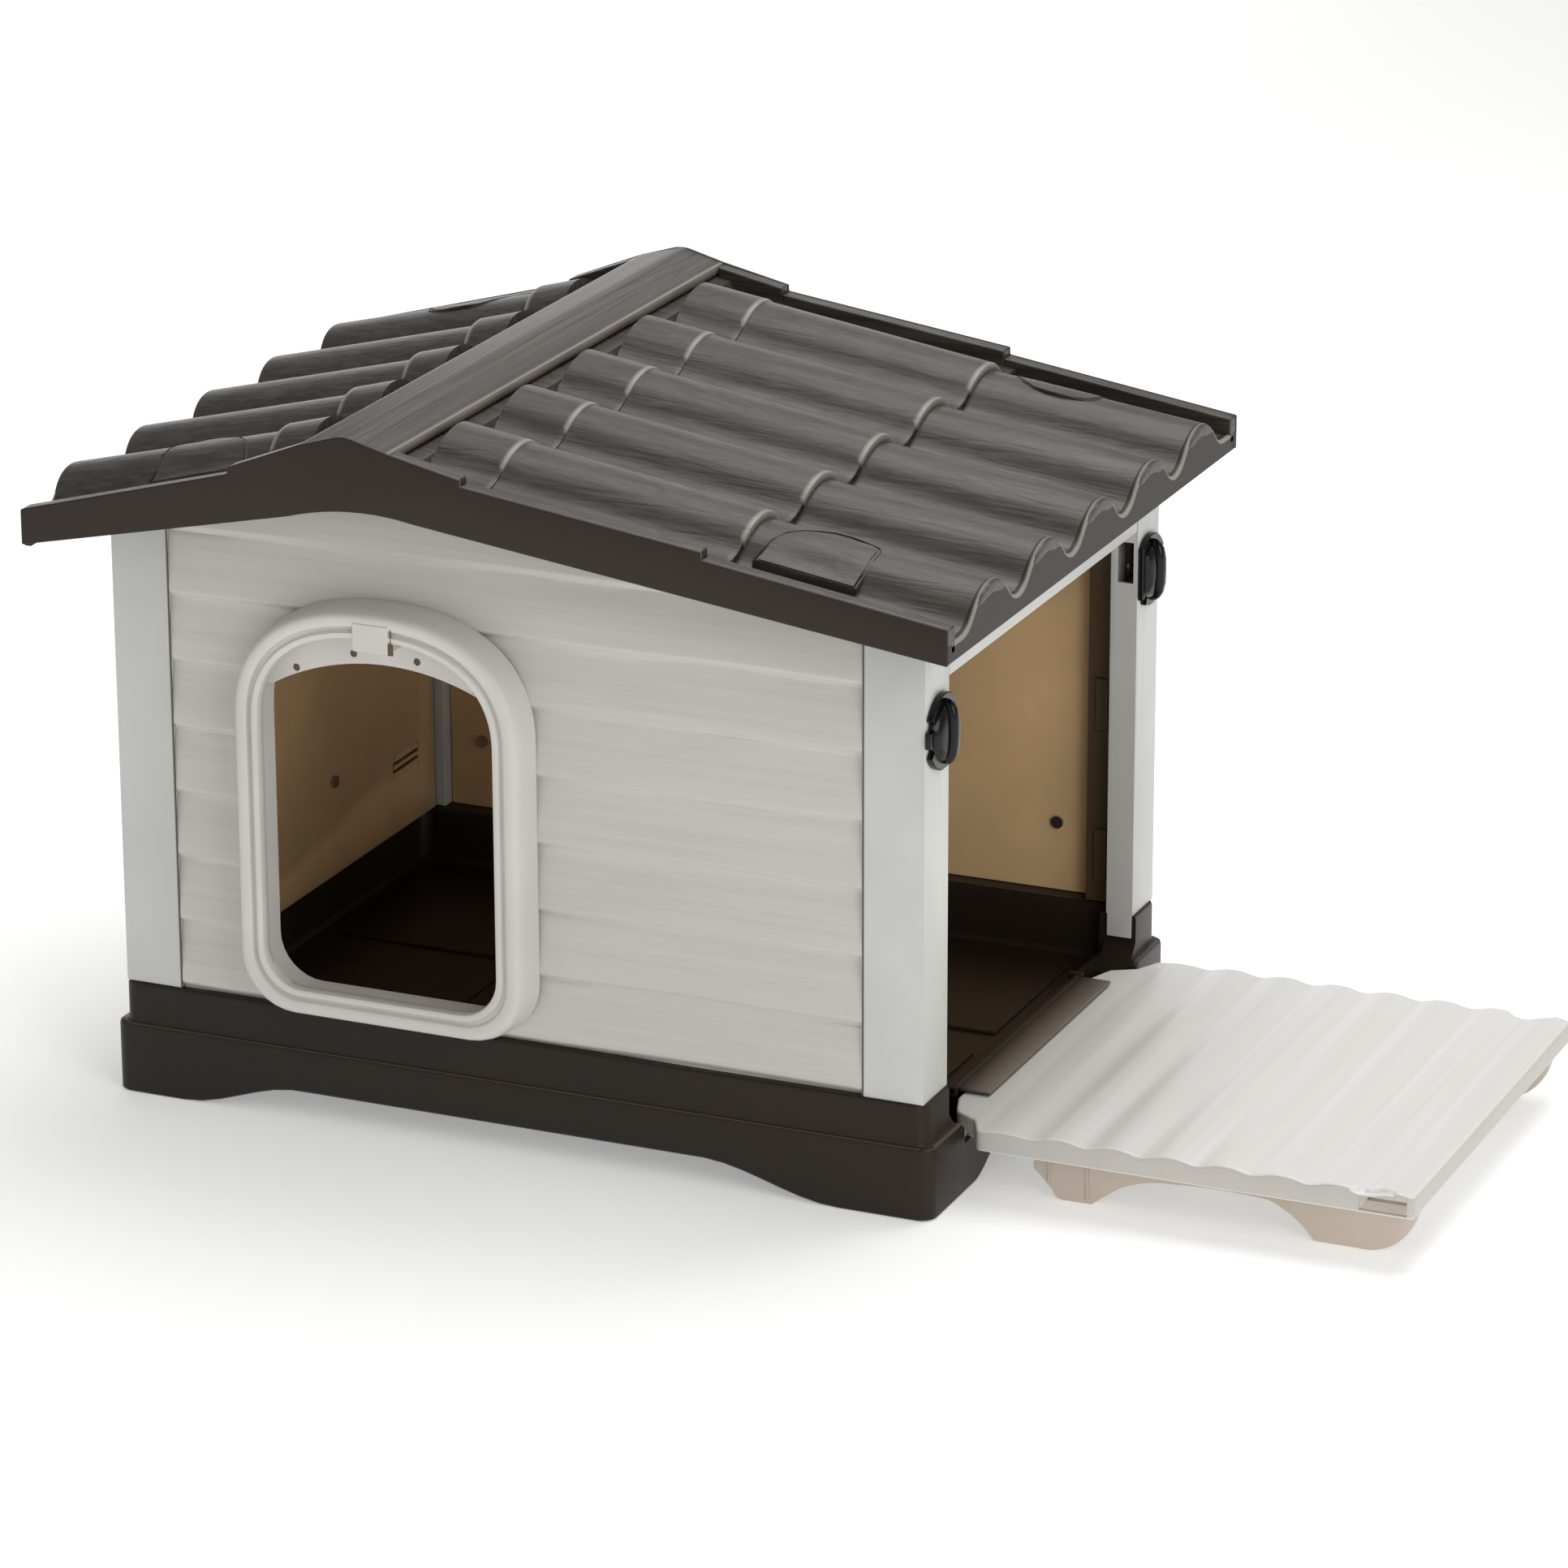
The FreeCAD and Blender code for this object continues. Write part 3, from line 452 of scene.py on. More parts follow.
def tileHeight(across):
    # a barrel with a narrow round valley on each side, across counted from the crest
    half, valley = roof["pitch"] / 2, roof["valley"]
    reach = half - valley
    drop = roof["rise"] * reach / half
    radius = (reach * reach + drop * drop) / (2 * drop)
    away = min(abs(across), half)
    if away <= reach:
        return sqrt(radius * radius - away * away) - radius + roof["rise"]
    bend = valley * radius / reach
    return bend - sqrt(bend * bend - (half - away) ** 2)


def acrossStations():
    reach, half = roof["pitch"] / 2 - roof["valley"], roof["pitch"] / 2
    barrel = [reach * step / 10 for step in range(-10, 11)]
    valley = [half - roof["valley"] * step / 4 for step in range(4)]
    return [-place for place in valley] + barrel + valley[::-1]


def offCrest(across):
    return across - round(across / roof["pitch"]) * roof["pitch"]


def barrelPlaces():
    # stations right across all the tiles
    return [(column - (roof["columns"] - 1) / 2) * roof["pitch"] + station
            for column in range(roof["columns"]) for station in acrossStations()[:-1]]


def stretch(slope):
    # length up the slope for each unit along X
    return sqrt(1 + slope["rise"] ** 2)


def swell(slope, along):
    # the lowest course grows a little deeper towards the eave
    low, high, _ = slope["courses"][0]
    run = abs(low - high) * stretch(slope)
    return 1 + roof["swell"] * max(0, 1 - along / run)


def courseRing(height, length, drop):
    # lengthwise section of a tile as (distance up the slope, height): rounded lip, top, underside
    skin, lip = roof["skin"], roof["lip"]
    soft, back, middle = lip * 0.3, lip * 2.6, length * 0.5
    return [(0, height - lip), (soft, height - soft), (lip, height), (back, height), (middle, height),
            (length, height), (length, height - skin), (middle, height - skin), (back, height - skin),
            (back, height - drop), (0, height - drop)]


def slopePoint(slope, low, gutter, along, across, height):
    angle = atan(slope["rise"])
    side = slope["side"]
    x = low - side * (along * cos(angle) - height * sin(angle))
    return at(x, across, gutter + along * sin(angle) + height * cos(angle))


def roofCourse(name, slope, index):
    low, high, gutter = slope["courses"][index]
    length = abs(low - high) * stretch(slope) + (roof["overlap"] if index < len(slope["courses"]) - 1 else 0)
    slotFrom, slotTo = roof["slotSpan"]
    highlightFrom, highlightTo = roof["highlightSpan"]
    rings = []
    for across in acrossStations():
        # the lip closes down onto the course below, but for a slot on the flank towards the doorway
        drop = roof["slotDrop"] if slotFrom < across < slotTo and index > 0 else roof["lipDrop"]
        rings.append([Vector((along, across, height)) / 1000
                      for along, height in courseRing(tileHeight(across), length, drop)])
    tile = newPiece(name + "Tile", *loft(rings), roofAlong)
    half = roof["pitch"] * roof["columns"] / 2
    row = copies(name, rowTree, tile, roofAlong, Count=roof["columns"],
                 Start=(0, -(half - roof["pitch"] / 2) / 1000, 0), Step=(0, roof["pitch"] / 1000, 0))
    gutters = []
    for end in (-1, 1):
        rings = [[Vector((along, end * across, height)) / 1000
                  for along, height in courseRing(0, length, roof["lipDrop"])]
                 for across in (half, roof["halfDepth"] - roof["gutterGap"])]
        gutters.append(newPiece(name + "Gutter", *loft(rings), roofAlong))
    row = join(name, [row] + gutters)

    def lay(shape):
        bmesh.ops.remove_doubles(shape, verts=shape.verts, dist=2e-5)
        fillHoles(shape)
        # the rim layer paints a highlight on the lips of the upper courses
        rim = shape.verts.layers.float.new("rim")
        for vertex in shape.verts:
            along, across, height = vertex.co * 1000
            offCrest = across - min(max(round(across / roof["pitch"]), -2), 2) * roof["pitch"]
            onLip = along < roof["lip"] * 1.1 and height > tileHeight(offCrest) - roof["highlightDeep"]
            vertex[rim] = roof["highlightStrength"] if onLip and index > 0 and highlightFrom < offCrest < highlightTo else 0.0
            if index == 0:
                height *= swell(slope, along)
            vertex.co = slopePoint(slope, low, gutter, along, across, height)

    reshape(row.data, lay)
    tidyMesh(row, 42)
    return row


def verge(name, slope, end):
    # the rail along the gable, one length for each course, each end dropping a step
    pieces = []
    inner, outer = roof["halfDepth"] - roof["railWide"], roof["halfDepth"]
    limit = (outer - roof["railHighlight"]) / 1000
    for index, (low, high, lowZ, highZ) in enumerate(slope["rails"]):
        rings = []
        for x, top in ((low, lowZ), (high, highZ)):
            foot = top - roof["railDeep"]
            section = ((inner, foot), (outer, foot), (outer, top), (inner, top))
            rings.append([at(x, end * y, z) for y, z in section])
        rail = capped(f"{name}{index}", rings, roofAlong)
        bevel(rail, 1.6, 3)
        bake(rail)
        # a painted highlight along the rail's outer edge
        markPaintedHighlight(rail, lambda x, y, z: 0.5 if abs(y) > limit else 0.0)
        pieces.append(rail)
    return pieces


pad = {
    "x": 289, "y": 280, "reach": 27, "edge": 10, "lean": 0.3, "proud": 1.2, "buried": -20, "groove": -2.4,
    # outline as (towards the eave, towards the gable)
    "plan": (
        (48, 27), (48, 10), (48, -8), (48, -21), (45, -29), (38, -33.5), (27, -36), (14, -37.5), (0, -37),
        (-14, -33.5), (-26, -26), (-37, -14), (-44, 0), (-48, 14), (-48, 27), (-24, 27), (0, 27), (24, 27)),
    # layers as (size, height), from the buried foot over the rim and the groove to the flat top
    "layers": (
        (1, -20), (1, -0.9), (0.99, -0.3), (0.98, -0.2), (0.975, -2.4), (0.93, -2.4), (0.92, -0.1), (0.8, 0),
        (0.6, 0), (0.35, 0), (0.1, 0)),
}


def lockPad(name, slope, end):
    # half-round pad moulded over the outer barrel: straight along the gable and the eave, round behind
    low, _, gutter = slope["courses"][0]
    middle = (abs(low) - pad["x"]) * stretch(slope)
    rings, paintedShades = [], []
    for size, sink in pad["layers"]:
        ring = []
        for towardsEave, out in pad["plan"]:
            away = pad["y"] + out * size
            along = middle - towardsEave * size
            barrel = tileHeight(away - 2 * roof["pitch"]) * swell(slope, along)
            lean = pad["edge"] + pad["lean"] * (pad["y"] + pad["reach"] - away)
            top = max(barrel + pad["proud"], lean)
            ring.append(slopePoint(slope, low, gutter, along, end * away, top + sink))
            # the buried foot and the groove get near-black, painted shade along the pad's front and in its
            # groove
            paintedShades.append(1.0 if sink in (pad["buried"], pad["groove"]) else 0.0)
        rings.append(ring)
    piece = capped(name, rings, roofAlong)
    setPointValues(piece, "paintedShade", paintedShades)
    return piece


eave = {"outer": 440, "back": 433, "foot": 532, "inset": 0.2, "shoulder": 12, "highlightX": 436.6,
        "highlightDeep": 0.0032}


def eaveFace(name, slope):
    # upright face under the lowest course, its top edge scalloped like the tiles
    side, foot = slope["side"], eave["foot"]
    gutter = slope["courses"][0][2]
    half = roof["pitch"] * roof["columns"] / 2
    edge = roof["halfDepth"] - eave["inset"]
    places = [-edge, -half - eave["shoulder"], -half - 1] + barrelPlaces()
    places += [half, half + eave["shoulder"], edge]
    outer, back = side * eave["outer"], side * eave["back"]
    rings = []
    for across in places:
        height = tileHeight(offCrest(across)) * swell(slope, 0) if abs(across) < half else 0
        top = gutter + height - slope["rise"] * 2 + 0.6
        section = [(back, top + 0.4), (outer - side * 3.6, top + 0.2), (outer - side * 1.5, top - 0.1),
                   (outer - side * 0.4, top - 1), (outer, top - 2.6), (outer, top - 3.4), (outer, foot + 1.5),
                   (outer - side * 1.5, foot), (back, foot)]
        rings.append([at(x, across, z) for x, z in section])
    face = capped(name, rings, eavePlastic, 40)
    # the top of each scallop, towards the outer face, gets a painted highlight
    crests = {}
    for vertex in face.data.vertices:
        key = round(vertex.co.y * 2000)
        crests[key] = max(crests.get(key, 0), vertex.co.z)
    limit = at(side * eave["highlightX"], 0, 0).x

    def light(x, y, z):
        return 1.0 if z > crests[round(y * 2000)] - eave["highlightDeep"] and (x - limit) * side > 0 else 0.0

    markPaintedHighlight(face, light)
    fills = []
    for end in (-1, 1):
        left, right = span(side, 432, 440.3)
        near, far = span(end, 344.8, 353.6)
        fills.append(block(name + "Corner", (left, near, 534), (right, far, 549), eavePlastic, 0.6))
    return join(name, [face] + fills)


apron = {"gap": 1.4, "top": 8, "foot": -4.5, "tuck": 6, "ridgeGap": 1, "inset": 0.5}


def ridgeApron(name, slope):
    # flat strip between the tiles' upper ends and the ridge, with the tiles' closing wall
    low, high, gutter = slope["courses"][-1]
    run = abs(low - high) * stretch(slope)
    end = run + (abs(high - roof["ridgeX"]) - apron["ridgeGap"]) * stretch(slope)
    half = roof["halfDepth"] - apron["inset"]
    top, foot = apron["top"], apron["foot"]

    def section(across, points):
        return [slopePoint(slope, low, gutter, along, across, height) for along, height in points]

    flat = ((run + apron["gap"], top), (end, top), (end, foot), (run - apron["tuck"], foot))
    strip = capped(name, [section(across, flat) for across in (-half, half)], roofAlong)
    rings = [section(across, ((run, tileHeight(offCrest(across)) - 0.2), (run + 1.2, -3), (run - 2, -3)))
             for across in barrelPlaces()]
    return [strip, capped(name + "Wall", rings, roofAlong)]


for slopeName, slope in slopes.items():
    parts = [roofCourse(f"{slopeName}Course{index}", slope, index) for index in range(len(slope["courses"]))]
    for end, endName in ((-1, "Front"), (1, "Rear")):
        parts += verge(f"{slopeName}Rail{endName}", slope, end)
        parts.append(lockPad(f"{slopeName}Pad{endName}", slope, end))
    parts.append(eaveFace(slopeName + "Eave", slope))
    parts += ridgeApron(slopeName + "Apron", slope)
    tiles = join(slopeName + "RoofTiles", parts)
    settle(tiles, "house", "roof_plastic", f"roof_{slopeName}_slope")
print("roof slopes tiled")

ridge = {"half": 43, "top": 667.5, "edge": 657, "end": 354.4, "soft": ((0, 1.8), (0.5, 0.6), (2, 0)),
         "highlightWide": 2.6, "highlightFrom": 0.654}


def ridgeSection(shrink):
    x, top, edge, half = roof["ridgeX"], ridge["top"] - shrink, ridge["edge"] - shrink, ridge["half"] - shrink
    left = [(-half, edge - 2), (-half + 0.6, edge - 0.5), (-half + 2.4, edge), (-half + 4, edge + 0.4),
            (-10, top - 2.2), (-8, top - 1.7), (-5, top - 0.8), (-2, top - 0.1)]
    upper = left + [(-across, z) for across, z in left[::-1]]
    lower = [(half, edge - 8), (9, top - 9), (-9, top - 9), (-half, edge - 8)]
    return [(x + side, z) for side, z in upper + lower]


stations = [(-ridge["end"] + back, shrink) for back, shrink in ridge["soft"]] + [(0, 0)]
stations += [(ridge["end"] - back, shrink) for back, shrink in ridge["soft"][::-1]]
rings = [[at(x, y, z) for x, z in ridgeSection(shrink)] for y, shrink in stations]
cap = capped("RidgeCapMoulding", rings, ridgeAlong)
capMiddle = at(roof["ridgeX"], 0, 0).x
capEdge = (ridge["half"] - ridge["highlightWide"]) / 1000
# a painted highlight along both lower edges of the cap
markPaintedHighlight(cap, lambda x, y, z: 0.8 if abs(x - capMiddle) > capEdge and z > ridge["highlightFrom"] else 0.0)
settle(cap, "house", "roof_plastic", "ridge_cap")
for node, name in (("front_gable_board", "FrontGableBoard"), ("rear_gable_board", "RearGableBoard")):
    softened(node, name, fasciaPlastic, "house", "brown_plastic", 1.4, 3)
print("ridge and gables on")

boards = {
    "step": 61.75, "lap": 6, "lip": 0.13, "curve": 1.4, "face": 283, "left": 391, "foot": 106, "top": 625,
    "back": 9.5, "bend": 2.2, "waver": 1.6, "seed": 7.0, "column": 7, "fineStep": 1.1, "coarseStep": 5,
    "fineBelow": 0.16, "fineAbove": 0.95,
}


def boardDepth(along, z, seed):
    # how far the clapboard face lies behind its proudest lip
    bend = boards["bend"] * noise.noise(Vector((along / 130, seed, z / 300)))
    place = (z + bend - boards["foot"]) / boards["step"]
    row = floor(place)
    part = place - row
    lip = boards["lip"]
    if part < lip:
        depth = boards["lap"] * (1 - smooth(part / lip))
    else:
        depth = boards["lap"] * ((part - lip) / (1 - lip)) ** boards["curve"]
    hewn = boards["waver"] * noise.noise(Vector((along / 95, row * 3.1 + seed, z / 42)))
    return max(0.0, depth + hewn * (0.35 + 0.65 * part))


def clapboards(name, half, topAt, place, material, seed):
    # place(along, depth, z) gives the point; topAt(along) the wall's upper edge
    columns = int(2 * half / boards["column"])
    stations = [-half + 2 * half * column / columns for column in range(columns + 1)]
    rowsZ = []
    z = boards["foot"]
    while z < boards["top"]:
        part = ((z - boards["foot"]) / boards["step"]) % 1
        rowsZ.append(z)
        fine = part < boards["fineBelow"] or part > boards["fineAbove"]
        z += boards["fineStep" if fine else "coarseStep"]

    def line(row, depth=None):
        places = [(along, min(row, topAt(along))) for along in stations]
        return [place(along, boardDepth(along, z, seed) if depth is None else depth, z)
                for along, z in places]

    front = [line(row) for row in rowsZ]
    back = [line(row, boards["back"]) for row in (rowsZ[-1], rowsZ[0])]
    wall = newPiece(name, *loft(front + back + [front[0]], closed=False), material, 50)
    reshape(wall.data, fillHoles)
    tidyMesh(wall, 50)
    return wall


def gableTop(x):
    line = [(-335, 566), (-178, 606), (-145, 613), (-120, 614), (-90, 612), (-60, 609), (335, 556)]
    for (left, low), (right, high) in zip(line, line[1:]):
        if x <= right:
            return low + (high - low) * (x - left) / (right - left)
    return line[-1][1]


ring = {"middle": -116, "half": 138.8, "foot": 113, "spring": 385, "rise": 113.5, "corner": 52, "power": 2.35,
        "wall": 283}


def doorOutline(inset, y, arch=36, corner=8):
    # round the doorway from the left spring line: superellipse arch, straight sides, round lower corners
    half, rise = ring["half"] - inset, ring["rise"] - inset
    foot, bend = ring["foot"] + inset, ring["corner"] - inset * 0.6
    outline = []
    for step in range(arch + 1):
        turn = pi * (1 - step / arch)
        reach, lift = cos(turn), sin(turn)
        outline.append((ring["middle"] + half * copysign(abs(reach) ** (2 / ring["power"]), reach),
                        ring["spring"] + rise * lift ** (2 / ring["power"])))
    for middleX, start in ((half - bend, 0), (-half + bend, -90)):
        for step in range(corner + 1):
            turn = radians(start - 90 * step / corner)
            outline.append((ring["middle"] + middleX + bend * cos(turn),
                            foot + bend + bend * sin(turn)))
    return [at(x, y, z) for x, z in outline]


def doorPrism(name, inset, front, back):
    return capped(name, [doorOutline(inset, front), doorOutline(inset, back)], wallAcross)


def frontPlace(x, depth, z):
    return at(x, -boards["face"] + depth, z)


def rearPlace(x, depth, z):
    return at(x, boards["face"] - depth, z)


def leftPlace(y, depth, z):
    return at(-boards["left"] + depth, y, z)


vent = {"y": 192, "z": 173, "half": 18, "radius": 11}


def ventPrism(name, outer, inner):
    outline = []
    for turn in fullTurn(24):
        y = vent["y"] + copysign(vent["half"], cos(turn)) + vent["radius"] * cos(turn)
        outline.append((y, vent["z"] + vent["radius"] * sin(turn)))
    return capped(name, [[at(x, y, z) for y, z in outline] for x in (outer, inner)], wallSide)


wallHalf, sideHalf = 334.5, 228.5
frontWall = clapboards("FrontBoards", wallHalf, gableTop, frontPlace, wallAcross, boards["seed"])
carve(frontWall, [doorPrism("DoorCut", 13.5, -320, -240)])
settle(frontWall, "house", "wall_plastic", "front_wall")
rearWall = clapboards("RearBoards", wallHalf, gableTop, rearPlace, wallAcross, boards["seed"] + 11)
settle(rearWall, "house", "wall_plastic", "rear_wall")
leftWall = clapboards("LeftBoards", sideHalf, lambda y: 546, leftPlace, wallSide, boards["seed"] + 23)
carve(leftWall, [ventPrism("VentCut", -400, -370)])
settle(leftWall, "house", "wall_plastic", "left_wall")
# dark strips down the wall and post joints: painted shadow of the gaps there
jointShadowStrips = [block("WallJoint", (x - 0.7, y - 0.5, 107), (x + 0.7, y + 0.5, 558), stripPlasticAndShade, 0.2)
          for x in (-334.3, 334.3) for y in (-283, 283)]
settle(join("WallJoints", jointShadowStrips), "house", "wall_plastic")
for end in ("front", "rear"):
    for side in ("left", "right"):
        name = f"{end}{side.title()}PostMoulding"
        softened(f"{end}_{side}_post", name, postPlastic, "house", "wall_plastic", 3, 3)
softened("side_header", "SideHeader", postPlastic, "house", "wall_plastic", 2, 3)
print("walls and posts up")


# section as (inset from the outer edge, how proud of the wall): two lips with a groove between them
ringProfile = [
    (-2.5, 0), (-2, 14), (-0.8, 25), (0.8, 31), (3.2, 34.2), (6, 35), (12, 35), (13, 34.3), (13.4, 31),
    (14.2, 30), (17, 30), (17.8, 31), (18.2, 34), (19, 35), (22, 35), (23.6, 34), (24.4, 31.5), (24.2, 23),
    (23.4, 22), (18, 22), (17, 21), (17, -11.5), (15, -11.5), (14, -10), (14, -0.5)]
rings = [doorOutline(inset, -ring["wall"] - 0.3 - proud) for inset, proud in ringProfile]
surroundRing = newPiece("SurroundRing", *loft(rings + [rings[0]]), ringPlastic, 40)

lip = {
    "steps": 30, "inset": 18, "endGap": 0.5, "crown": 443.5, "radius": 223, "bend": 114, "front": -291,
    "back": -287, "soft": 0.8, "holes": ((-88, 431), (-31, 451), (31, 451), (88, 431)), "hole": 3.5,
    "plug": 3.6, "plugY": -289.8, "plugDeep": 1.2,
}


def lipPlate():
    # arched lip over the opening, with the four holes a door flap hangs from
    reach = ring["half"] - lip["inset"] - lip["endGap"]
    front, back, soft = lip["front"], lip["back"], lip["soft"]
    rings = []
    for step in range(lip["steps"] + 1):
        across = -reach + 2 * reach * step / lip["steps"]
        away = min(abs(across), lip["bend"])
        low = lip["crown"] - (lip["radius"] - sqrt(lip["radius"] ** 2 - away ** 2))
        part = abs(across) / (ring["half"] - lip["inset"])
        arch = max(0, 1 - part ** ring["power"]) ** (1 / ring["power"])
        high = max(ring["spring"] + (ring["rise"] - lip["inset"]) * arch, low + 1)
        rings.append([at(ring["middle"] + across, y, z) for y, z in
                      ((front, low + soft), (front + soft, low), (back, low), (back, high), (front, high))])
    plate = capped("FlapLip", rings, ringPlastic)
    cutters = []
    for across, z in lip["holes"]:
        x, radius = ring["middle"] + across, lip["hole"]
        rings = [[at(x + radius * cos(turn), y, z + radius * sin(turn)) for turn in fullTurn(20)]
                 for y in (front - 3, back + 3)]
        cutters.append(capped("HoleCut", rings, ringPlastic))
    carve(plate, cutters).data.shade_flat()
    return plate


tab = block("FlapTab", (-134, -319.2, 463), (-99, -288, 489), ringPlastic, 1.2)
plug = capped("HolePlug", [[Vector((lip["plug"] * cos(turn), y, lip["plug"] * sin(turn))) / 1000
                            for turn in fullTurn(20)] for y in (0, lip["plugDeep"])], stripPlasticAndShade)
plugs = copies("HolePlugs", pointTree, plug, stripPlasticAndShade,
               [at(ring["middle"] + across, lip["plugY"], z) for across, z in lip["holes"]])
# dark strips beside the tab: painted shade of a slot and a seam
tabSlotShadow = join("TabSlot", [block("TabSlot", (-99.4, -318.8, 463), (-94.4, -317, 473), stripPlasticAndShade, 0.4),
                          block("TabSeam", (-97, -318.6, 472), (-96.2, -317, 487), stripPlasticAndShade, 0.2)])
surround = join("DoorSurroundRing", [surroundRing, lipPlate(), tab, plugs, tabSlotShadow])
settle(surround, "house", "surround_plastic", "door_surround")
print("doorway surround in")

# heights that the side doorway leaves: sill, notch for the panel, pocket for its bosses
tray = {"archTop": 26.5, "archLeft": -332, "archRight": 312, "sideArch": 190, "radius": 14, "shoulder": 231,
        "mouth": 207, "notch": 214, "sillTop": 67, "notchTop": 46.5, "pocketTop": 29, "slantFoot": 55,
        "highlightFrom": 0.06695, "highlightTo": 0.06705, "highlightX": 0.399, "highlightY": 0.287}


def archAt(x, y, onSide):
    if onSide:
        return tray["archTop"] * smooth((tray["sideArch"] - abs(y)) / 75)
    return tray["archTop"] * smooth((x - tray["archLeft"]) / 115) * smooth((tray["archRight"] - x) / 130)


def mouthTop(y, kind):
    # height that the side doorway leaves of the tray's right side
    away = abs(y)
    if away > tray["shoulder"] + 0.05:
        return 200
    slant = tray["slantFoot"] + away - tray["mouth"]
    if kind == "sill":
        return tray["sillTop"]
    if kind == "notch":
        return tray["notchTop"] if away < tray["notch"] else slant
    return tray["pocketTop"] if away < tray["mouth"] else slant


def trayCorner(x, y, start):
    bend = tray["radius"]
    turns = [radians(start + turn) for turn in (7.5, 22.5, 37.5, 52.5, 67.5, 82.5)]
    return [(x + bend * cos(turn), y + bend * sin(turn), False) for turn in turns]


def trayLoop(halfX, halfY, z=None, kind=None, drop=0):
    # a rounded rectangle of points; z is a height, or None for the edge that follows the arches
    nearX, nearY = halfX - tray["radius"], halfY - tray["radius"]
    stations = [k * 12.0 for k in range(-15, 16)]
    stations += [side * away for side in (-1, 1)
                 for away in (186, 192, 200, 206.9, 207.1, 213.9, 214.1, 219, 225, 230.9, 231.1)]
    stations.sort()
    along = [-370 + k * 18.5 for k in range(41)]
    edges = [(halfX, y, True) for y in stations] + trayCorner(nearX, nearY, 0)
    edges += [(x, halfY, False) for x in along[::-1]] + trayCorner(-nearX, nearY, 90)
    edges += [(-halfX, y, True) for y in stations[::-1]] + trayCorner(-nearX, -nearY, 180)
    edges += [(x, -halfY, False) for x in along] + trayCorner(nearX, -nearY, 270)
    loop = []
    for x, y, onSide in edges:
        height = archAt(x, y, onSide) if z is None else z
        if kind and x > 0 and onSide:
            height = min(height, mouthTop(y, kind))
        loop.append(at(x, y, height + drop))
    return loop


# loops of the tray from the underside round the skirt and over the wall to the floor, as
# (half width, half depth, height, what the doorway leaves, shift)
trayLoops = (
    (352, 244, 47), (362, 254, 45, "under", -1), (396, 284.5, 45, "under", -1),
    (396.2, 284.8, None, None, 1.2), (397.6, 285.8), (400.6, 288.6), (402, 290, None, None, 1.6),
    (402, 290, 63.5, "notch"), (401.4, 289.4, 65.8, "notch"), (399.8, 287.8, 67, "notch"),
    (395.8, 287.6, 67.1, "notch"), (394.6, 286.6, 67.8, "notch"), (394, 286, 69.6, "notch"),
    (394, 286, 102.2, "notch"), (393.3, 285.3, 104.8, "notch"), (391.6, 283.6, 106, "notch"),
    (391, 283.2, 106, "pocket"), (363.4, 255.4, 106, "pocket"), (362.8, 254.8, 106, "sill"),
    (360.4, 252.4, 106, "sill"), (358.8, 250.8, 105.2, "sill", -0.8), (358, 250, 103, "sill", -0.8),
    (356.6, 248.6, 57.5), (353.4, 245.4, 53), (349, 241, 52),
)


# a painted highlight along the ledge's outer edge
def trayPaintedHighlight(x, y, z):
    onLedge = tray["highlightFrom"] < z < tray["highlightTo"]
    return 0.4 if onLedge and (abs(x - cabinX) > tray["highlightX"] or abs(y) > tray["highlightY"]) else 0.0


trayShell = capped("TrayShell", [trayLoop(*entry) for entry in trayLoops], brownPlastic, 32)
markPaintedHighlight(trayShell, trayPaintedHighlight)
trayPieces = [trayShell]
for x in (-240, 0, 240):
    for y in (-120, 120):
        trayPieces.append(block("TrayPad", (x - 95, y - 95, 50), (x + 95, y + 95, 55), brownPlastic, 2.2))
for side in (-1, 1):
    low, high = span(side, 151, 157)
    trayPieces.append(block("FlapLug", (357.6, low, 64), (371, high, 73), brownPlastic, 1.2))
settle(join("TrayMoulding", trayPieces), "house", "brown_plastic", "base_tray")
print("base tray set")

for side in ("front", "left", "rear"):
    softened(f"{side}_lining", side.title() + "LiningSheet", tanPlastic, "house", "lining_plastic", 0.5)
ventBars = [block("VentBar", (-347, 165, low), (-344, 219, high), tanPlastic, 0.4)
            for low, high in ((161.5, 167.5), (171, 175), (178.5, 184.5))]
settle(join("LiningVentBars", ventBars), "house", "lining_plastic")
channels = [block("RearChannel", (335.2, 252.6, 107), (364.4, 256.6, 534), stripPlasticAndShade, 0.8),
            block("RearChannel", (-364.4, 252.6, 107), (-345, 256.6, 534), stripPlasticAndShade, 0.8)]
for z in (158, 306):
    channels.append(block("ChannelClip", (343, 249.6, z - 30), (356, 253.6, z + 22), stripPlasticAndShade, 1.8))
settle(join("LiningChannels", channels), "house", "lining_plastic")
print("linings in")

deck = {"start": 374, "end": 818, "half": 227, "top": 66, "radius": 6, "pitch": 51, "crest": 443, "rise": 3.8,
        "boardsFrom": 417.5, "halfRiseTo": 468.5, "waver": 0.25, "round": 2.5, "recessX": 781, "recessY": 252,
        "recessR": 34, "recessDeep": 2.6, "fineFrom": 742, "fineJoint": 22, "fineStep": 1.5, "step": 3.5}
deckEdge = [(374, 155), (386, 190), (408, 203), (420, 227), (812, 227)]
# the rim below the top face as (how far out, how far below the face, or at what height)
deckRim = ((1.4, 0.35, None), (2.2, 1.1, None), (2.5, 2.3, None), (2.5, None, 49), (1.8, None, 47.8),
           (0.6, None, 47.5), (-0.4, None, 48.2), (-0.5, None, 62))


def deckHalf(x):
    straight = deckEdge[-1][0]
    if x >= straight:
        return deck["half"] - deck["radius"] + sqrt(max(0, deck["radius"] ** 2 - (x - straight) ** 2))
    for (left, near), (right, far) in zip(deckEdge, deckEdge[1:]):
        if x <= right:
            return near + (far - near) * (x - left) / (right - left)
    return deck["half"]


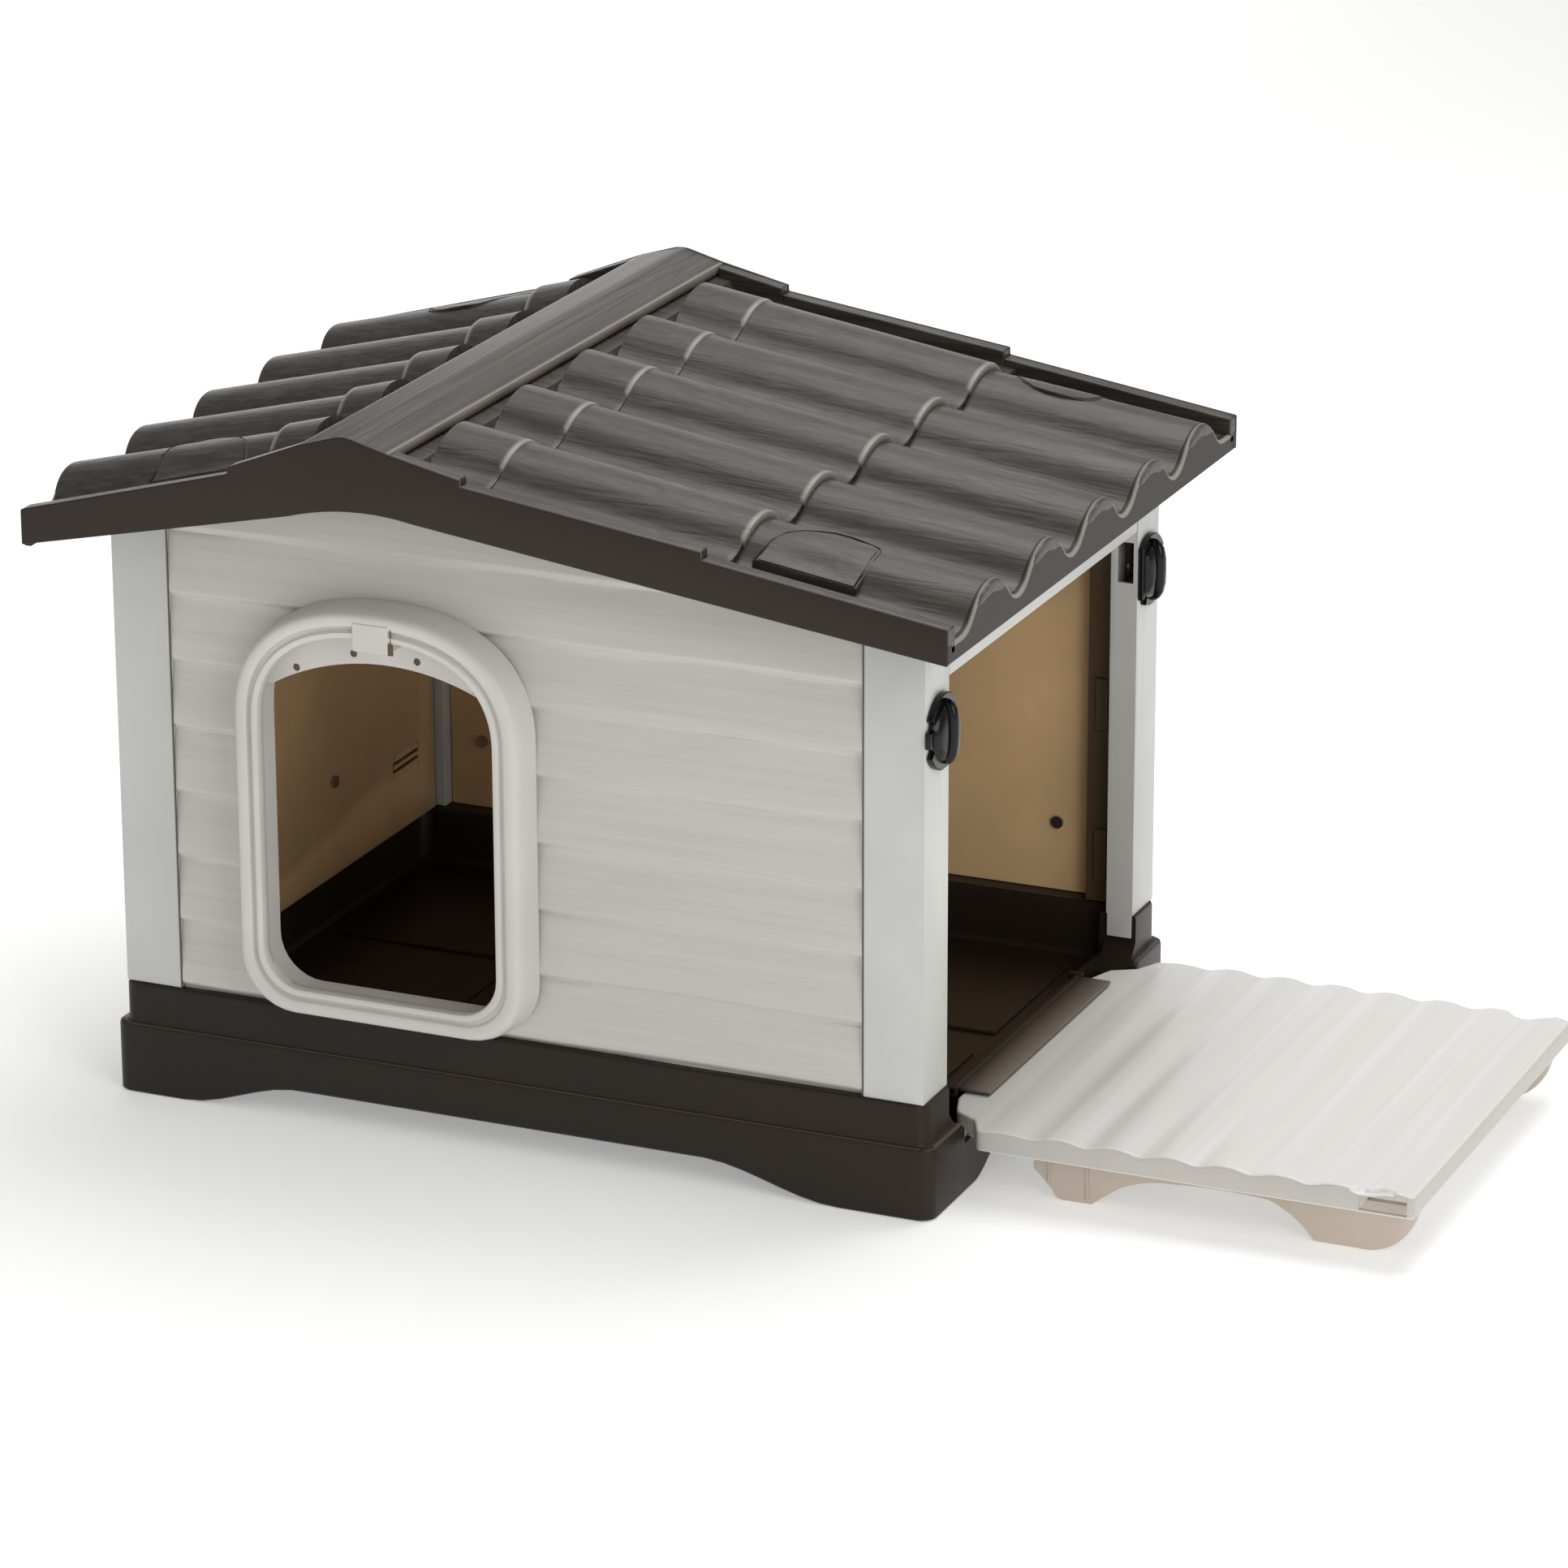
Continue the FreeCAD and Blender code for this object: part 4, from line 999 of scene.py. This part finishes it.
def fromCrest(x):
    return abs((x - deck["crest"] + deck["pitch"] / 2) % deck["pitch"] - deck["pitch"] / 2)


def deckHeight(x, y):
    # boards across the panel, each a low arc with a narrow joint, and the latch's arc near each corner
    height = deck["top"]
    if x > deck["boardsFrom"]:
        away = fromCrest(x) / (deck["pitch"] / 2)
        board = 0.5 + 0.5 * cos(pi * away ** 1.25)
        waver = deck["waver"] * noise.noise(Vector((x / 60, y / 120, 3.0)))
        height += deck["rise"] * (0.5 if x < deck["halfRiseTo"] else 1) * board + waver
    reach = hypot(x - deck["recessX"], abs(y) - deck["recessY"])
    return height - deck["recessDeep"] * (1 - smooth((reach - deck["recessR"]) / 1.2 + 0.5))


def outwardAt(plan, index):
    # unit vector out of the panel's outline at one of its points
    (beforeX, beforeY), (afterX, afterY) = plan[index - 1], plan[(index + 1) % len(plan)]
    run, lift = afterX - beforeX, afterY - beforeY
    size = hypot(run, lift)
    outX, outY = lift / size, -run / size
    if outX * (plan[index][0] - 600) + outY * plan[index][1] < 0:
        outX, outY = -outX, -outY
    return outX, outY


def deckShell():
    inset = deck["round"]
    xs = []
    x = deck["start"] + inset
    while x < deck["end"] - inset:
        xs.append(x)
        x += deck["fineStep"] if x > deck["fineFrom"] or fromCrest(x) > deck["fineJoint"] else deck["step"]
    xs.append(deck["end"] - inset)
    fractions = [k / 12 for k in range(-10, 11)]
    fractions += [side * part for side in (-1, 1)
                  for part in (0.87, 0.9, 0.915, 0.93, 0.945, 0.96, 0.97, 0.98, 0.99, 1)]
    fractions.sort()
    rows, columns = len(xs), len(fractions)
    points = []
    for x in xs:
        half = deckHalf(min(x, deck["end"] - 0.5)) - inset
        points += [(x, part * half) for part in fractions]
    faces = [(r * columns + c, r * columns + c + 1, (r + 1) * columns + c + 1, (r + 1) * columns + c)
             for r in range(rows - 1) for c in range(columns - 1)]
    last = (rows - 1) * columns
    loop = [r * columns for r in range(rows)] + [last + c for c in range(1, columns)]
    loop += [r * columns + columns - 1 for r in range(rows - 2, -1, -1)] + list(range(columns - 2, 0, -1))
    solid = [at(x, y, deckHeight(x, y)) for x, y in points]
    plan = [points[index] for index in loop]
    outwards = [outwardAt(plan, index) for index in range(len(plan))]
    previous, count = loop, len(loop)
    for out, depth, level in deckRim:
        rim = []
        for (x, y), (outX, outY) in zip(plan, outwards):
            rim.append(len(solid))
            z = deckHeight(x, y) - depth if level is None else level
            solid.append(at(x + outX * out, y + outY * out, z))
        for k in range(count):
            after = (k + 1) % count
            faces.append((previous[k], previous[after], rim[after], rim[k]))
        previous = rim
    faces.append(tuple(previous))
    shell = newPiece("PanelShell", solid, faces, deckGrain, 40)
    shell.data.materials.append(deckSideShade)
    # faces that stand upright take the darker edge colour, a painted shade
    for polygon in shell.data.polygons:
        polygon.material_index = 1 if abs(polygon.normal.z) < 0.35 else 0
    return shell


def row(name, piece, count, startX, step):
    # copies of a piece made about the cabin's middle, from startX on
    for vertex in piece.data.vertices:
        vertex.co.x -= cabinX
    return copies(name, rowTree, piece, deckGrain, Count=count, Start=at(startX, 0, 0), Step=(step, 0, 0))


ribHalf, ribFoot, ribHead = 1.3, 48, 63
hingeX, hingeZ = 390, 48
deckPieces = [deckShell()]
made = block("RibAcross", (-ribHalf, -223.5, ribFoot), (ribHalf, 223.5, ribHead), deckGrain, 0.4)
deckPieces.append(row("RibsAcross", made, 4, 451, 0.105))
made = block("RibAlong", (405, -ribHalf, ribFoot), (815, ribHalf, ribHead), deckGrain, 0.4)
deckPieces.append(copies("RibsAlong", rowTree, made, deckGrain, Count=3, Start=(0, -0.114, 0),
                         Step=(0, 0.114, 0)))
deckPieces.append(block("RibRoot", (404, -196, ribFoot), (407, 196, ribHead), deckGrain, 0.4))
for side in (-1, 1):
    low, high = span(side, 177, 184)
    made = block("LegEar", (-4, low, 39), (4, high, 64), deckGrain, 1.0)
    deckPieces.append(row("LegEars", made, 4, 468.5, 0.102))
    low, high = span(side, 186, 203)
    section = ((low, 3.1), (low, 6.2), (low + 0.8, 7), (high - 0.8, 7), (high, 6.2), (high, 3.1), (low, 3.1))
    boss = [[at(hingeX + radius * cos(turn), y, hingeZ + radius * sin(turn)) for turn in fullTurn(28)]
            for y, radius in section]
    deckPieces.append(newPiece("HingeBoss", *loft(boss), deckGrain))
    low, high = span(side, 186, 194)
    deckPieces.append(block("BossBack", (394, low, ribFoot), (406, high, ribHead), deckGrain, 0.8))
panel = join("PanelMoulding", deckPieces)
cutters = [block("PocketCut", (769, low, 50), (812, high, 62.9), deckSideShade, 0.6)
           for low, high in (span(-1, 215, 231), span(1, 215, 231))]
settle(carve(panel, cutters), "panel", "panel_plastic", "side_panel")
for side, end in ((-1, "front"), (1, "rear")):
    softened(f"{end}_leg", f"{end.title()}LegBoard", legPlastic, f"{end}_leg_board", "leg_plastic", 1.2, 3)
    low, high = span(side, 193, 196.6)
    legRibs = [block("LegRib", (x - 1.3, low, foot), (x + 1.3, high, 45), legPlastic, 0.9)
               for x, foot in ((474, 13), (510, 3))]
    settle(join(f"{end.title()}LegRibs", legRibs), f"{end}_leg_board", "leg_plastic")
flapBoard = softened("sill_flap", "SillFlapBoard", brownPlastic, "flap", "brown_plastic", 1.3, 3)
flapEdge = at(398.9, 0, 0).x
# a painted highlight along the flap's outer edge
markPaintedHighlight(flapBoard, lambda x, y, z: 0.9 if x > flapEdge and z > 0.0698 else 0.0)
print("panel and legs on")

# slots are at these degrees round the knob; dome and grip are given from the post outwards
knob = {
    "y": 252, "z": 439, "radius": 34, "flat": 23.4,
    "slots": (158, 202, 305, 338), "slotHalf": 8, "slotDeep": 7,
    "rim": ((391.8, 33.2), (392.4, 34), (396.2, 34), (397.2, 33)),
    "dome": ((397.2, 26), (398.4, 25.5), (401, 23.5), (403, 19), (404.2, 12), (404.6, 5)),
    "gripFoot": 397, "gripFrom": 398, "gripProud": 12, "gripHalf": 5.4, "gripReach": 29.5, "stem": 3.4,
}


def knobRing(side, x, radius, slotted=True):
    ring = []
    for step in range(120):
        turn = step * 3
        reach = radius
        away = min(abs((turn - slot + 180) % 360 - 180) for slot in knob["slots"])
        if slotted and away < knob["slotHalf"]:
            reach -= knob["slotDeep"] * min(1, (knob["slotHalf"] - away) / 1.5)
        outward = -reach * cos(radians(turn))
        outward = max(outward, -knob["flat"] + (knob["radius"] - radius) * 0.5)
        ring.append(at(x, side * (knob["y"] + outward), knob["z"] + reach * sin(radians(turn))))
    return ring


def knobGrip(side, part):
    # section of the bar across the knob, part of the way from its middle to its end
    half = knob["gripHalf"] * sqrt(max(0.02, 1 - abs(part) ** 5))
    proud = knob["gripFrom"] + knob["gripProud"] * sqrt(max(0.02, 1 - abs(part) ** 3.2))
    flank = [(knob["gripFoot"], -half), (proud - 3, -half), (proud - 0.9, -half * 0.8), (proud, -half * 0.4)]
    section = flank + [(x, -y) for x, y in flank[::-1]]
    return [at(x, side * knob["y"] + y, knob["z"] + knob["gripReach"] * part) for x, y in section]


def makeKnob(side, node, body):
    rings = [knobRing(side, x, radius) for x, radius in knob["rim"]]
    rings += [knobRing(side, x, radius, False) for x, radius in knob["dome"]]
    dome = capped(node + "Dome", rings, blackNylon, 38)
    rings = [knobGrip(side, part) for part in (-1, -0.97, -0.88, -0.7, -0.4, 0, 0.4, 0.7, 0.88, 0.97, 1)]
    grip = capped(node + "Grip", rings, blackNylon, 50)
    y, z, stem = side * knob["y"], knob["z"], knob["stem"]
    spindle = block(node + "Stem", (378.4, y - stem, z - stem), (393, y + stem, z + stem), blackNylon, 0.6)
    name = node.title().replace("_", "") + "Moulding"
    settle(join(name, [dome, grip, spindle]), body, "black_plastic", node)


makeKnob(-1, "front_knob", "front_latch")
makeKnob(1, "rear_knob", "rear_latch")
print("latches in")

# the CAD's own meshes that are shown as they are
plainNodes = {
    "lining_screws": zincSteel, "panel_hinge_pins": zincSteel, "flap_rod": zincSteel, "leg_rods": zincSteel,
    "front_latch_screw": zincSteel, "rear_latch_screw": zincSteel, "front_latch_tongue": blackNylon,
    "rear_latch_tongue": blackNylon, "vent_grille": ringPlastic,
}
for node, material in plainNodes.items():
    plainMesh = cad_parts[node].data
    plainMesh.materials.clear()
    plainMesh.materials.append(material)

view = {"position": (2374.46, -5135.09, 2219.5), "azimuth": 23.54, "elevation": 19.14, "roll": -0.17,
        "lens": 150.01, "sensor": 36}


def setCamera():
    data = bpy.data.cameras.new("Camera")
    data.lens = view["lens"]
    data.sensor_width = view["sensor"]
    data.clip_end = 50
    camera = addObject("Camera", data)
    azimuth, elevation, roll = (radians(view[name]) for name in ("azimuth", "elevation", "roll"))
    ahead = Vector((-sin(azimuth) * cos(elevation), cos(azimuth) * cos(elevation),
                    -sin(elevation)))
    right = ahead.cross(Vector((0, 0, 1))).normalized()
    up = right.cross(ahead)
    turnedRight = right * cos(roll) + up * sin(roll)
    turnedUp = up * cos(roll) - right * sin(roll)
    rotation = Matrix((turnedRight, turnedUp, -ahead)).transposed().to_4x4()
    camera.matrix_world = Matrix.Translation(at(*view["position"])) @ rotation
    bpy.context.scene.camera = camera


# lamps as (name, place, aim, size in metres, power in watts); the top and right ones draw the highlights
stage = {
    "size": 40, "sink": 0.0005, "colour": "#F4F4F2", "glow": 0.32, "world": 0.38,
    "lamps": (("Top", (500, 1100, 3500), (100, -50, 200), 2.6, 88),
              ("Right", (3200, -2300, 2000), (200, -100, 250), 2.2, 44),
              ("Front", (-600, -4200, 1600), (0, 0, 250), 2.4, 2),
              ("Back", (-2600, 4600, 1300), (-200, 0, 600), 2.8, 32)),
}


def setStage():
    # a white floor that glows a little, so that it meets the background without an edge
    floorMaterial, _, shader = newMaterial("Floor painted white", 0.9)
    setInputs(shader, {"Base Color": fromHex(stage["colour"]), "Emission Color": (1, 1, 1, 1),
                       "Emission Strength": stage["glow"]})
    size = stage["size"]
    mesh = bpy.data.meshes.new("Floor")
    corners = [(-size, -size, 0), (size, -size, 0), (size, size, 0), (-size, size, 0)]
    mesh.from_pydata(corners, [], [(0, 1, 2, 3)])
    mesh.materials.append(floorMaterial)
    floor = addObject("Floor", mesh)
    floor.location.z = -stage["sink"]
    world = bpy.data.worlds.new("Studio")
    bpy.context.scene.world = world
    world.use_nodes = True
    setInputs(world.node_tree.nodes["Background"], {"Color": (1, 1, 1, 1), "Strength": stage["world"]})
    for name, position, aim, size, power in stage["lamps"]:
        data = bpy.data.lights.new(name, "AREA")
        data.size = size
        data.energy = power
        lamp = addObject(name, data)
        lamp.location = at(*position)
        lamp.rotation_euler = (at(*aim) - lamp.location).to_track_quat("-Z", "Y").to_euler()
    bpy.context.scene.view_settings.view_transform = "Standard"


setCamera()
setStage()
print("stage set")
